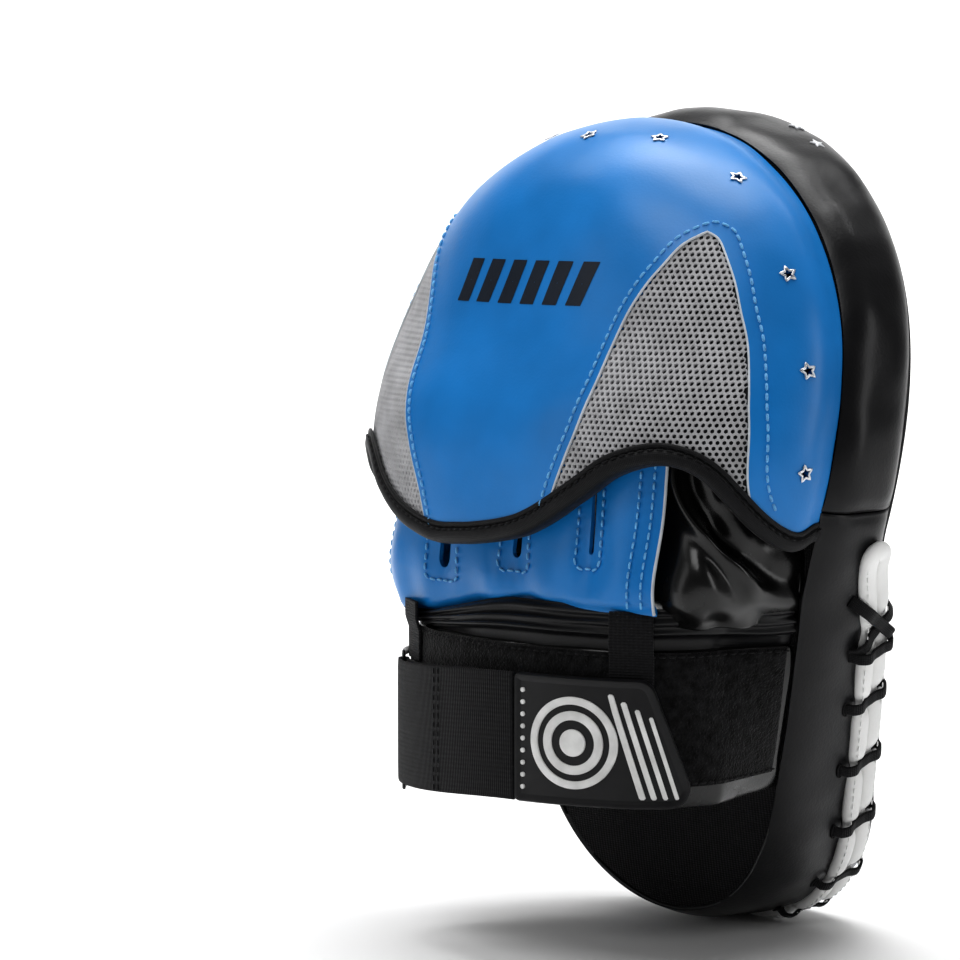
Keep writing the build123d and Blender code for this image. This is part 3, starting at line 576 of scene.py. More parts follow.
def gusset_point(way, share, lift=0.0):
    """A point on the padded side wall; share runs from the back seam (0) to the strike face (1)."""
    x, z, nx, nz = outline(way)
    share = np.asarray(share, float)
    crown = 1 - np.abs(2 * share - 1) ** 3.2
    bulge = -2.3 + 4.4 * crown
    laced = smoothstep(SLOT_RUN + 6 - np.abs(way), 0, 12)
    depth = rear_rim(z) - face_rim(z)
    off = (share - LACE_SHARE) * depth
    trench = np.exp(-((off / 4.6) ** 4))
    bulge = bulge - laced * trench * 2.2
    y = rear_rim(z) + share * (face_rim(z) - rear_rim(z))
    out = bulge + lift
    return np.stack([x + nx * out, y, z + nz * out], axis=-1)


def face_grid(rows, columns, inset):
    """Points of the outline's inside, as rays from a middle line to the outline."""
    way = np.linspace(-HALF_RUN, HALF_RUN, columns)
    x, z, nx, nz = outline(way)
    x, z = x - nx * inset, z - nz * inset
    spine = np.clip(z, TAIL_Z, CROWN_Z) * 0.85
    share = np.linspace(0, 1, rows) ** 0.8
    return share[:, None] * x[None], spine[None] + share[:, None] * (z - spine)[None], share[:, None]


def strike_y(x, z, lift=0.0):
    """The strike face's padded surface."""
    inside = 1 - np.clip(rim_distance(x, z) / 9.0, 0, 1)
    rim = (face_rim(z) - front_y(z)) * rim_share(x, z)
    return front_y(z) + rim - 1.6 + 3.2 * inside**2.6 - lift


def rim_distance(x, z):
    """How far a point is inside the outline."""
    x, z = np.asarray(x, float), np.asarray(z, float)
    along = np.clip((z - TAIL_Z + np.abs(x) * tan(TAPER)) / (CROWN_Z - TAIL_Z), 0, 1)
    centre = TAIL_Z + along * (CROWN_Z - TAIL_Z)
    radius = TAIL_RADIUS + along * (CROWN_RADIUS - TAIL_RADIUS)
    return radius - np.hypot(x, z - centre)


# Pad


def make_gusset(name, low, high, node, columns):
    """One length of the padded side wall, with its wrinkles."""
    way = np.linspace(low, high, columns)
    share = (1 - np.cos(np.linspace(0, pi, 44))) / 2
    grid = gusset_point(way[None, :], share[:, None])
    normal = grid_normals(grid)
    soft = np.sin(pi * share)[:, None] ** 0.6
    dents = wrinkle(grid, 26, 1.5, 3.1) + wrinkle(grid, 11, 0.55, 9.2, (1, 0.5, 1))
    ends = np.minimum(np.abs(way - low), np.abs(way - high))
    pinch = -1.5 * bell(ends, 0, 3.0)
    out = np.stack([outline(way)[2], np.zeros(columns), outline(way)[3]], axis=1)
    grid = grid + out[None] * ((dents + pinch[None]) * soft)[..., None]
    made = shell(name, grid, 1.6, "black_leather", flip=(normal * out[None]).sum() < 0)
    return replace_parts(made, node)


def face_skin(name, grid, thickness, paint, outward):
    """A skin over a grid whose middle or ends meet; outward is the way it faces along Y."""
    uv = grid[..., [0, 2]].reshape(-1, 2)
    made = piece(name, grid.reshape(-1, 3), grid_faces(*grid.shape[:2]), paint, uv=uv)
    fix_normals(made)
    if sum(face.area * face.normal.y for face in made.data.polygons) * outward < 0:
        made.data.flip_normals()
    solidify(made, thickness, even=False)
    return made


def make_strike_face():
    x, z, _ = face_grid(46, 260, 2.4)
    y = strike_y(x, z) + wrinkle(np.stack([x, z, z * 0], axis=2), 60, 0.5)
    grid = np.stack([x, y, z], axis=2)
    made = face_skin("strike_face_skin", grid, 1.5, "black_leather", -1)
    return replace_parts(made, "strike_face")


def make_foam():
    """The three foam layers between the skins, each a closed slab that follows the curled rim."""
    x, z, _ = face_grid(20, 160, 5.0)
    rear, front = back_surface(x, z) - 2.6, strike_y(x, z) + 3.0
    count = x.size
    faces = grid_faces(20, 160)
    faces += [tuple(q + count for q in f[::-1]) for f in faces]
    rim = np.arange(19 * 160, 20 * 160)
    faces += [(b, a, a + count, b + count) for a, b in zip(rim, rim[1:])]
    layers = (
        ("foam_back_sheet", "foam_back_layer", 0, 0.15),
        ("foam_core_block", "foam_core", 0.16, 0.64),
        ("foam_strike_sheet", "foam_strike_layer", 0.65, 1),
    )
    for name, node, low, high in layers:
        sides = [np.stack([x, rear + (front - rear) * q, z], axis=2).reshape(-1, 3) for q in (low, high)]
        made = piece(name, np.concatenate(sides), faces, "foam")
        fix_normals(made)
        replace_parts(made, node)


def make_back_panel():
    x, z, share = face_grid(30, 260, 2.4)
    puff = 1.4 * (1 - share**8) - 1.2
    grid = np.stack([x, back_surface(x, z) + puff, z], axis=2)
    made = face_skin("back_panel_cloth", grid, 1.2, "black_textile", 1)
    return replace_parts(made, "back_panel")


PRINT_LIFT, PANEL_INSET = 0.35, 7.0


def on_strike(x, z, lift):
    return np.stack([x, strike_y(x, z, lift), z], axis=-1)


def face_print(name, lower, upper, paint, node=None):
    """A printed panel on the strike face between two curves, each a list of x, z points."""
    count = 90
    a, b = resample(lower, count=count), resample(upper, count=count)
    share = np.linspace(0, 1, 16)[:, None, None]
    flat = a[None] * (1 - share) + b[None] * share
    made = face_skin(name, on_strike(flat[..., 0], flat[..., 1], PRINT_LIFT), 0.5, paint, -1)
    if node:
        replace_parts(made, node)
    return made


def inside_rim(way):
    """Points of the outline, set in, where the printed panels end."""
    x, z, nx, nz = outline(way)
    return np.stack([x - PANEL_INSET * nx, z - PANEL_INSET * nz], axis=1)


def make_prints():
    turn = np.linspace(0, 2 * pi, 91)
    ring = np.stack([np.cos(turn), np.sin(turn)], axis=1)
    centre = np.array([0, 45.0])
    face_print("target_disc_print", ring * 0 + centre, ring * 34 + centre, "print_white", "target_disc")
    face_print("target_ring_print", ring * 36 + centre, ring * 39.5 + centre, "print_blue", "target_ring")
    run = np.linspace(0, 1, 60)
    rim = inside_rim(np.linspace(HALF_RUN - 4, HALF_RUN - 150, 60))
    bow = rim[0] * (1 - run)[:, None] + rim[-1] * run[:, None]
    swell = np.sin(np.linspace(0, pi, 60))
    bow[:, 0] += 30 * swell * 0.9
    bow[:, 1] += 26 * swell
    face_print("face_crescent", rim, bow, "print_blue")
    tail = inside_rim(np.linspace(-TAIL_RUN - 36, TAIL_RUN - 8, 60))
    first, last = tail[0], tail[-1]
    top = first[1] + (last[1] - first[1]) * run + 17 * np.sin(pi * run)
    top = np.stack([np.interp(run, [0, 1], [first[0], last[0]]), top], axis=1)
    blade_top = np.stack([-40 + 114 * run, -24 - 22 * run**1.7], axis=1)
    blade_foot = np.stack([-40 + 108 * run, -25 - 38 * run**1.25], axis=1)
    for number, edges in enumerate(((tail, top), (blade_foot, blade_top))):
        for edge in edges:
            edge[:, 0] = np.minimum(edge[:, 0], half_width(edge[:, 1], PANEL_INSET))
        face_print(f"face_panel_{number + 1}", *edges, "print_blue")


# Lacing

LACE_FIRST_RUN = 113.0
LACE_WAYS = np.linspace(-LACE_FIRST_RUN, LACE_FIRST_RUN, 11)
CROSS_RUN = LACE_FIRST_RUN + 26.5
FLAP_OFFSET, FLAP_HALF = 3.3, 3.3


def side_point(way, off, lift):
    """A point over the laced slot, off millimetres in front of (-) or behind (+) its middle."""
    way = np.asarray(way, float)
    _, z, nx, nz = outline(way)
    y = rear_rim(z) + LACE_SHARE * (face_rim(z) - rear_rim(z)) + off
    share = (rear_rim(z) - y) / (rear_rim(z) - face_rim(z))
    base = gusset_point(way, share, lift)
    return base, np.stack([nx, 0 * nx, nz], axis=-1)


def make_underlay():
    """Two rolled white leather edges that meet in the slot and turn into each other at its ends."""
    end = SLOT_RUN + 1.0
    way = np.linspace(-end, end, 420)
    turn = np.linspace(0, pi, 14)[1:-1]
    bend = FLAP_OFFSET * np.sin(turn)
    run = np.concatenate([way, end + bend, way[::-1], -end - bend])
    off = np.concatenate([way * 0 + 1, np.cos(turn), way * 0 - 1, -np.cos(turn)]) * FLAP_OFFSET
    pinch = np.zeros(len(run))
    for centre in [*LACE_WAYS, CROSS_RUN, -CROSS_RUN]:
        slant = centre + np.sign(off) * 2.2
        pinch = np.maximum(pinch, bell(run, slant, 3.2))
    path, up = side_point(run, off * (1 - 0.24 * pinch), 2.3 - 1.1 * pinch)
    half = FLAP_HALF * (1 - 0.3 * pinch)
    high = 2.1 - 0.7 * pinch
    made = sweep("lace_underlay_edges", path, up, half, high, "white_leather", square=2.3, closed=True)
    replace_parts(made, "lace_underlay")
    lines = [side_point(way, way * 0 + sign * 5.2, 3.3) for sign in (1, -1)]
    stitches("lace_underlay_stitches", lines, "white_leather", pitch=3.2, length=2.0, radius=0.22, lift=0)
    return made


def lace_pass(rear, front, rise):
    """One band of the lace, from its hole behind the slot to its hole in front of it."""
    share = np.linspace(0, 1, 24)
    way = rear + (front - rear) * share
    off = 10.3 * (1 - 2 * share)
    over = rise * (1 - np.abs(2 * share - 1) ** 3.0)
    end = np.where(np.abs(2 * share - 1) > 0.9, -1.2, 0.0)
    path, up = side_point(way, off, 0.9 + over + end)
    return sweep("lace_pass", path, up, 2.0, 0.55, "black_lace", square=3.5, sides=12)


def make_lace():
    """The flat lace: slanted passes over the slot, and a crossing at each end of it."""
    bands = [(way + 3.4, way - 3.4, 3.1) for way in LACE_WAYS]
    for side in (1, -1):
        bands.append((side * (CROSS_RUN + 9), side * (CROSS_RUN - 6), 4.4))
        bands.append((side * (CROSS_RUN - 10), side * (CROSS_RUN + 7), 3.2))
        bands.append((side * (CROSS_RUN - 11), side * (CROSS_RUN - 5), 5.2))
    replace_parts(join("lace_passes", [lace_pass(*band) for band in bands]), "lace")
    eyelets = []
    turn = np.linspace(0, 2 * pi, 13)[:-1]
    for rear, front, _ in bands[: len(LACE_WAYS)]:
        for way, off in ((rear, 10.0), (front, -10.0)):
            path, up = side_point(way + 2.4 * np.cos(turn), off + 1.1 * np.sin(turn), 0.15)
            eyelets.append(sweep("eyelet", path, up, 0.3, 0.3, "thread_black", sides=6, closed=True))
    join("lace_hole_threads", eyelets)


def join(name, pieces):
    """Joins meshes of one body and one material into one piece."""
    first = pieces[0]
    with bpy.context.temp_override(
        active_object=first, object=first, selected_objects=pieces, selected_editable_objects=pieces
    ):
        bpy.ops.object.join()
    first.name = name
    first.data.name = name
    return first


# Hood

HOOD_EDGE = (
    (-87, 18), (-85.4, 25), (-82.2, 34), (-77.4, 42), (-70.9, 46.2), (-63, 46.8), (-51.7, 43), (-42, 36.5),
    (-29.3, 28.5), (-19.4, 23.6), (-11, 21.3), (-1.8, 19.7), (8, 18.6), (22.6, 18.3), (40.4, 22.9),
    (55.7, 31.8), (64, 39), (72, 43.5), (79, 41), (84, 32), (87, 20),
)
MESH_INNER = (
    (22, 8), (29.7, 32.1), (35, 45.5), (38.2, 55), (40.2, 67.1), (40.8, 78.4), (42.9, 88.5),
    (46.8, 97.3), (50.7, 104.3), (53.8, 110.4), (57.9, 114.3),
)
MESH_OUTER = (
    (83.3, 8), (83.9, 36.1), (84.3, 52.8), (82.9, 64), (80.8, 72.6), (77.8, 81.5), (74, 90),
    (70, 98.8), (65.7, 106.1), (61.5, 111.9), (57.9, 114.3),
)
APEX_Z = 114.3
HOOD_SKIN = 2.0


def catmull(points):
    """A smooth line through points."""
    steps = 24
    points = np.asarray(points, float)
    ends = np.vstack([2 * points[0] - points[1], points, 2 * points[-1] - points[-2]])
    rows = []
    for k in range(1, len(ends) - 2):
        t = np.linspace(0, 1, steps, endpoint=False)[:, None]
        a, b, c, d = ends[k - 1], ends[k], ends[k + 1], ends[k + 2]
        bend, twist = 2 * a - 5 * b + 4 * c - d, 3 * b - a - 3 * c + d
        rows.append(0.5 * (2 * b + (c - a) * t + bend * t**2 + twist * t**3))
    return np.vstack([*rows, points[-1:]])


EDGE_LINE = catmull(HOOD_EDGE)
INNER_LINE = catmull(MESH_INNER)
FAR_LINE = catmull([(x + 7 * bell(z, 90, 26) * (z < 112), z) for x, z in MESH_INNER])
OUTER_LINE = catmull(MESH_OUTER)


def edge_z(x):
    """The height of the hood's lower edge: the lobe over the fingers leans towards +X."""
    return np.interp(x, EDGE_LINE[:, 0], EDGE_LINE[:, 1])


def hood_depth(z):
    dome = 52.0 * (1 - np.clip((z - 70.0) / 77.1, 0, 1) ** 3.2) ** 0.45
    return dome + 18.0 / (1 + np.exp((z - 72.0) / 8.0))


def hood_xy(u, z):
    """The hood's section at height z; u runs from the +X seam (0) over the top to the -X seam (pi)."""
    u, z = np.broadcast_arrays(np.asarray(u, float), np.asarray(z, float))
    half = half_width(z, SEAM_INSET)
    x = half * np.sign(np.cos(u)) * np.abs(np.cos(u)) ** (2 / HOOD_SQUARE)
    base = np.minimum(rear_rim(z), hood_depth(z))
    y = base + (hood_depth(z) - base) * np.abs(np.sin(u)) ** (2 / HOOD_SQUARE)
    puff = 2.4 * (1 - bell(y, base, 7)) * bell(y, base, 40)
    scale = puff / np.where(z > CROWN_Z, HOOD_RADIUS, half)
    return np.stack([x * (1 + scale), y, z + (z - CROWN_Z) * scale * (z > CROWN_Z)], axis=-1)


def hood_normal(u, z):
    here = hood_xy(u, z)
    return unit(np.cross(hood_xy(u, z + 0.3) - here, hood_xy(u - 0.01, z) - here))


def share_at(x, z):
    """The section angle at a distance x from the middle."""
    half = half_width(z, SEAM_INSET)
    return np.arccos(np.clip((x / half), 0, 1) ** (HOOD_SQUARE / 2))


def boundary(line, z):
    """The section angle of a mesh opening's edge at height z, straight on above the apex."""
    x = np.interp(np.minimum(z, APEX_Z), line[:, 1], line[:, 0])
    return np.where(z < APEX_Z, share_at(x, z), share_at(57.9, APEX_Z))


def opening_sides(sign, z):
    """How far out the inner and outer side of a mesh opening lie at height z."""
    inner = FAR_LINE if sign > 0 else INNER_LINE
    order = np.argsort(OUTER_LINE[:, 1])
    outer_x = np.interp(z, OUTER_LINE[order, 1], OUTER_LINE[order, 0])
    return np.interp(z, inner[:, 1], inner[:, 0]), outer_x


def seam_side(z):
    return np.zeros_like(z)


def far_seam(z):
    return np.full_like(z, pi)


def inner_side(z):
    return boundary(FAR_LINE, z)


def outer_side(z):
    return boundary(OUTER_LINE, z)


def far_inner(z):
    return pi - boundary(INNER_LINE, z)


def hood_panel(first, last, columns, rows=56, sign=1):
    """Grid points of a hood panel between two edges, from the lower edge to the top."""
    share = np.linspace(0, 1, columns)[None]

    def angle(z):
        return first(z) * (1 - share) + last(z) * share

    low = np.full((1, columns), 30.0)
    for _ in range(80):
        low = 0.5 * low + 0.5 * edge_z(sign * hood_xy(angle(low), low)[..., 0])
    climb = np.linspace(0, 1, rows)[:, None]
    lower = low * (1 - climb) + APEX_Z * climb
    start = asin((APEX_Z - CROWN_Z) / HOOD_RADIUS)
    turn = np.linspace(start, pi / 2 - 1e-6, 34)[1:, None]
    upper = CROWN_Z + HOOD_RADIUS * np.sin(turn) + 0 * share
    z = np.concatenate([lower, upper])
    return hood_xy(angle(z), z)


def mirrored(grid):
    return (grid * np.array([-1, 1, 1]))[:, ::-1]


def hood_dents(grid):
    """The hood leather's slight unevenness, fading out at the crown."""
    fade = smoothstep(CROWN_Z + HOOD_RADIUS - grid[..., 2], 0, 4)
    return (wrinkle(grid, 34, 0.9, 5.5) + wrinkle(grid, 14, 0.2, 1.5)) * fade


HOOD_MIDDLE = (0, -20, 55.0)
HOOD_PIECES = (
    "hood_leather", "hood_star_rims", "mesh_net_left", "mesh_net_right",
    "hood_foam_skin", "hood_lining_cloth", "hood_cut_edges", "hood_stitches",
    "hood_edge_tape", "hood_edge_stitches", "hood_edge_fold", "hood_print",
)


def lean_over(obj):
    """The hood's crown sits a little off the middle, towards +X."""
    count = len(obj.data.vertices)
    points = np.empty(count * 3)
    obj.data.vertices.foreach_get("co", points)
    points = points.reshape(-1, 3) / MM
    rise = np.maximum(points[:, 1] - rear_rim(points[:, 2]), 0)
    points[:, 0] += HOOD_LEAN * (rise / 70) ** 2
    obj.data.vertices.foreach_set("co", (points * MM).ravel())
    obj.data.update()


def make_hood_shell():
    side = hood_panel(seam_side, outer_side, 26)
    middle = hood_panel(inner_side, far_inner, 96)
    grids = [side, middle, mirrored(hood_panel(seam_side, outer_side, 26, sign=-1))]
    points, faces = [], []
    for grid in grids:
        normal, _ = outward_normals(grid, HOOD_MIDDLE)
        grid = grid + normal * hood_dents(grid)[..., None]
        start = sum(len(p) for p in points)
        points.append(grid.reshape(-1, 3))
        faces += grid_faces(*grid.shape[:2], start=start)
    made = piece("hood_leather", np.concatenate(points), faces, "blue_leather")
    fix_normals(made)
    flip_if_inward(made)
    solidify(made, HOOD_SKIN)
    cut(made, star_cutter())
    fix_normals(made)
    shade_smooth(made)
    smooth_by_angle(made, 40)
    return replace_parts(made, "hood_shell")


def flip_if_inward(obj):
    """An open skin's faces point away from the palm."""
    total = 0.0
    for face in obj.data.polygons:
        total += face.area * face.normal.dot(face.center - Vector((0, -0.02, 0.055)))
    if total < 0:
        obj.data.flip_normals()


def smooth_by_angle(obj, angle):
    """Keeps cut edges crisp on a smooth mesh."""
    work = bmesh.new()
    work.from_mesh(obj.data)
    for edge in work.edges:
        if len(edge.link_faces) == 2:
            edge.smooth = edge.calc_face_angle(0) < radians(angle)
    work.to_mesh(obj.data)
    work.free()


STARS = ((pi / 2, 142.0), (0.81, 141.1), (0.35, 129.2), (0.28, 100.9), (0.21, 72.6), (0.15, 42.5))


def star_outline(point=2.3, waist=1.05, turn=0.0):
    step = np.arange(10)
    radius = np.where(step % 2, waist, point)
    angle = pi / 2 + turn + step * pi / 5
    return np.stack([radius * np.cos(angle), radius * np.sin(angle)], axis=1)


def star_places():
    """The middle of each punched star on both sides, and its outward, sideways and upward directions."""
    for sign in (1, -1):
        for u, z in STARS if sign > 0 else STARS[1:]:
            place = hood_xy(u, z)
            out = -np.cross(hood_xy(u - 0.01, z) - place, hood_xy(u, z - 0.3) - place)
            out = unit(out) * np.sign(out @ (place - np.array(HOOD_MIDDLE)))
            flip = np.array([sign, 1, 1])
            place = place + out * float(hood_dents((place * flip)[None])[0])
            up = np.array([0, 0, 1.0]) if z < 120 else np.array([0, 1.0, 0.3])
            out = out * flip
            side = np.cross(up, out)
            side = side / np.linalg.norm(side)
            yield place * flip, out, side, np.cross(out, side)


def star_cutter():
    points, faces = [], []
    for place, out, side, up in star_places():
        start = len(points)
        for depth in (-6.0, 6.0):
            for a, b in star_outline(turn=0.2):
                points.append(place + out * depth + side * a + up * b)
        faces += prism_faces(start, 10)
    made = piece("star_cutter", points, faces, "silver_foil", body=None, smooth=False)
    fix_normals(made)
    return made


def make_star_rims():
    """The silver foil edge round each punched star."""
    rims = []
    for place, out, side, up in star_places():
        corners = star_outline(2.55, 1.25, 0.2)
        loop = np.vstack([corners, corners[:1]])
        flat = resample(loop, count=51)[:-1]
        path = place + flat[:, :1] * side + flat[:, 1:] * up + out * 0.35
        leans = np.tile(out, (len(path), 1))
        rims.append(sweep("star_rim", path, leans, 0.42, 0.2, "silver_foil", sides=6, closed=True))
    return join("hood_star_rims", rims)


NET_PITCH, NET_LOW_Z = 2.0, 14.0
# Each hole's rings from its outside in: their share of the hole's size, and their lift.
NET_RINGS = ((1.0, 0.05), (0.8, 0.3), (0.6, 0.02), (0.57, -0.75))


def patch_table(low_z, high_z):
    """For rows at constant height, section angles and their lengths from the middle of the hood."""
    heights = np.linspace(low_z, high_z, 60)
    angles = np.linspace(pi / 2, 0.03, 260)
    curves = hood_xy(angles[None], heights[:, None])
    steps = np.linalg.norm(np.diff(curves, axis=1), axis=2)
    lengths = np.concatenate([np.zeros((60, 1)), np.cumsum(steps, axis=1)], axis=1)
    return heights, angles, lengths


def net_place(lengths_across, z):
    """Points and normals of the hood at lengths from its middle line and heights."""
    heights, angles, lengths = patch_table(NET_LOW_Z, 121.0)
    t, z = np.asarray(lengths_across, float), np.asarray(z, float)
    row = np.clip((z - heights[0]) / (heights[1] - heights[0]), 0, len(heights) - 1.001)
    k = row.astype(int)
    part = row - k
    u = np.empty_like(t)
    for index in range(t.size):
        i, f = k.flat[index], part.flat[index]
        low = np.interp(t.flat[index], lengths[i], angles)
        high = np.interp(t.flat[index], lengths[i + 1], angles)
        u.flat[index] = low * (1 - f) + high * f
    return hood_xy(u, z), hood_normal(u, z)


def make_mesh_net(sign, name, node):
    """The knitted net in one opening: a comb of rounded hexagonal holes."""
    row_step = NET_PITCH * sqrt(3) / 2
    centres = np.array([
        (8.0 + (i + 0.5 * (j % 2)) * NET_PITCH, NET_LOW_Z + j * row_step)
        for j in range(int(108 / row_step))
        for i in range(80)
    ])
    x, z = net_place(centres[:, 0], centres[:, 1])[0][:, 0], centres[:, 1]
    inner_x, outer_x = opening_sides(sign, z)
    inside = (x > inner_x - 0.7) & (z < APEX_Z + 0.8) & (x < outer_x + 0.7) & (z > edge_z(sign * x) - 0.5)
    centres = centres[inside]
    corner = np.arange(6) * pi / 3 + pi / 6
    hexagon = NET_PITCH / sqrt(3) * np.stack([np.cos(corner), np.sin(corner)], axis=1)
    offsets = np.concatenate([hexagon * size for size, _ in NET_RINGS])
    lifts = np.repeat([lift for _, lift in NET_RINGS], 6)
    flat = centres[:, None] + offsets[None]
    here, normal = net_place(flat[..., 0], flat[..., 1])
    flip = np.array([sign, 1, 1])
    points = here * flip + normal * flip * (lifts[None, :, None] - 1.0 + hood_dents(here * flip)[..., None])
    faces = []
    for k in range(len(centres)):
        faces += grid_faces(len(NET_RINGS), 6, False, True, len(offsets) * k)
    made = piece(name, points.reshape(-1, 3), faces, "mesh_grey")
    fix_normals(made)
    flip_if_inward(made)
    shade_smooth(made)
    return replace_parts(made, node)


def make_hood_inside():
    """The foam's dark skin under the leather and the net, and the lining inside the hood."""

    def full(depth):
        grid = hood_panel(seam_side, far_seam, 120)
        return grid - outward_normals(grid, HOOD_MIDDLE)[0] * depth

    backing = shell("hood_foam_skin", full(2.6), 0.6, "foam")
    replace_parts(backing, "hood_foam")
    lining = shell("hood_lining_cloth", full(7.6), 0.8, "lining")
    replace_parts(lining, "hood_lining")


def opening_paths(sign, lift, away):
    """Lines along both sides of one mesh opening, away millimetres outside it."""
    z = np.linspace(14, APEX_Z, 120)
    inner_x, outer_x = opening_sides(sign, z)
    left = np.stack([inner_x, z], axis=1)[z > edge_z(sign * inner_x) + 2.0]
    right = np.stack([outer_x, z], axis=1)[z > edge_z(sign * outer_x) + 2.0]
    flat = resample(np.vstack([left, right[::-1][1:]]), step=1.0)
    along = unit(np.gradient(flat, axis=0))
    for _ in range(6):
        along[1:-1] = unit(along[:-2] + along[1:-1] + along[2:])
    flat = flat + np.stack([-along[:, 1], along[:, 0]], axis=1) * away
    flat = flat[flat[:, 1] > edge_z(sign * flat[:, 0]) + 1.5]
    u = share_at(flat[:, 0], flat[:, 1])
    here = hood_xy(u, flat[:, 1])
    normal = hood_normal(u, flat[:, 1])
    flip = np.array([sign, 1, 1])
    return (here + normal * lift) * flip + normal * flip * hood_dents(here * flip)[:, None], normal * flip


def make_hood_trim():
    """The pale cut edge and the blue stitching round each mesh opening."""
    edges, lines = [], []
    for sign in (1, -1):
        path, up = opening_paths(sign, -0.35, -0.1)
        edges.append(sweep("cut_edge", path, up, 0.42, 0.42, "edge_white", sides=8))
        lines.append(opening_paths(sign, 0.1, 2.6))
    join("hood_cut_edges", edges)
    stitches("hood_stitches", lines, "thread_blue", pitch=3.1, length=2.3, radius=0.46, lift=0.22)


def make_hood_print():
    """A plain printed mark on the dome: a row of slanted bars."""
    first, pitch, wide, lean, low, high = -26.0, 10.2, 6.2, 5, 91.0, 104.5
    parts = []
    for number in range(6):
        left = first + pitch * number
        corners = ((left, low), (left + wide, low), (left + wide - lean, high), (left - lean, high))
        flat = resample(np.array(corners + corners[:1]), step=0.5)[:-1]
        inner = flat.mean(0) + (flat - flat.mean(0)) * np.linspace(1, 0.02, 7)[:, None, None]
        ratio = inner[..., 0] / half_width(inner[..., 1], SEAM_INSET)
        u = np.arccos(np.sign(ratio) * np.abs(ratio) ** (HOOD_SQUARE / 2))
        here = hood_xy(u, inner[..., 1])
        top = here + hood_normal(u, inner[..., 1]) * (0.12 + hood_dents(here))[..., None]
        count = len(flat)
        made = piece("mark", top.reshape(-1, 3), grid_faces(7, count, False, True), "print_dark")
        flip_if_inward(made)
        parts.append(made)
    return join("hood_print", parts)


def edge_path(lift, climb):
    """A line along the hood's lower edge, climb millimetres above it."""
    grid = hood_panel(seam_side, far_seam, 240, rows=90)
    normal, _ = outward_normals(grid, HOOD_MIDDLE)
    line, lean = grid[0], normal[0]
    along = unit(np.gradient(line, axis=0))
    side = unit(np.cross(lean, along))
    side = side * np.sign(side[:, 2:] + 1e-6)
    return line + side * climb + lean * (lift + hood_dents(line))[:, None], lean


def make_binding():
    path, up = edge_path(-2.6, 0.6)
    dents = wrinkle(path, 9, 0.25)[:, None]
    made = sweep("hood_edge_tape", path + up * dents, up, 2.9, 4.3, "black_binding", square=2.5, sides=20)
    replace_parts(made, "hood_edge_binding")
    line = edge_path(1.15, 2.6)
    stitches("hood_edge_stitches", [line], "thread_black", pitch=3.0, length=2.1, radius=0.32, lift=0.1)
    path, up = edge_path(0.2, 3.9)
    return sweep("hood_edge_fold", path, up, 0.9, 0.6, "black_binding", square=2.2, sides=10)


# Glove

GLOVE_ROWS = ((-8, 74.5, 60), (2, 77, 61.5), (10, 77.5, 61.5), (26, 75, 59.5), (50, 77, 56.5), (66, 76, 50))
SLOTS_X = (31.4, -2.7, -34.3)
SLOT_FEET = (7.3, 12.9, 16.0)
SLOT_HALVES = (2.8, 1.9, 1.0)
THUMB_EDGE_X = -59.0
GLOVE_LINE = catmull(GLOVE_ROWS)


def glove_half(z):
    """The glove's half width at height z."""
    return np.interp(z, GLOVE_LINE[:, 0], GLOVE_LINE[:, 1])


def glove_xy(x, z):
    """The glove's back at a distance x from the middle: four finger swells over a boxy section."""
    x, z = np.broadcast_arrays(np.asarray(x, float), np.asarray(z, float))
    crown = np.interp(z, GLOVE_LINE[:, 0], GLOVE_LINE[:, 2])
    share = np.clip(np.abs(x) / glove_half(z), 0, 1)
    rise = (1 - share**GLOVE_SQUARE) ** (1 / GLOVE_SQUARE)
    swell = np.zeros(x.shape)
    for slot in SLOTS_X:
        swell -= 1.9 * bell(x, slot, 6.5) * smoothstep(z, -4, 14)
    return np.stack([x, crown * rise + swell, z], axis=-1)


def glove_normal(x, z):
    here = glove_xy(x, z)
    across = glove_xy(np.asarray(x) + 0.4, z) - glove_xy(np.asarray(x) - 0.4, z)
    upward = glove_xy(x, np.asarray(z) + 0.4) - glove_xy(x, np.asarray(z) - 0.4)
    return here, unit(np.cross(upward, across))


def glove_skin(x, z, lift=0.0):
    """The glove leather's surface with its folds, and its normals."""
    here, normal = glove_normal(x, z)
    folds = wrinkle(here, 13, 2.4, 2.0, (1, 1, 0.45)) * smoothstep(here[..., 2], 26, -4)
    folds = folds + wrinkle(here, 30, 0.8, 7)
    return here + normal * (folds + lift)[..., None], normal


def glove_foot(x):
    """The height where the glove is sewn into the cuff: lower on the little finger's side."""
    return -0.5 - 10.0 * smoothstep(x, -8, 66)


def thumb_edge(z):
    """The blue leather's free edge: it leans in towards its foot."""
    return THUMB_EDGE_X - 1.6 * smoothstep(z, 0, 45)


def make_glove_back():
    share = np.linspace(0, 1, 100)[:, None]
    turn = np.linspace(0, 1, 200)[None]
    z = np.repeat(-4 + 66 * share, 200, axis=1)
    for _ in range(6):
        half = glove_half(z)
        first = np.arccos(np.clip(thumb_edge(z) / half, -1, 1))
        x = half * np.cos(turn * first)
        z = (glove_foot(x) - 1.5) * (1 - share) + 62 * share
    grid, normal = glove_skin(x, z)
    tuck = 2.2 * smoothstep(z, glove_foot(x) + 3.5, glove_foot(x) - 1.5)
    grid = grid - normal * tuck[..., None]
    inward = (grid_normals(grid) * (grid - np.array([0, 0, 25.0]))).sum() < 0
    made = shell("glove_leather", grid, 1.5, "blue_leather", flip=inward)
    flip_if_inward(made)
    cut(made, slot_cutter())
    fix_normals(made)
    smooth_by_angle(made, 40)
    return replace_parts(made, "glove_back")


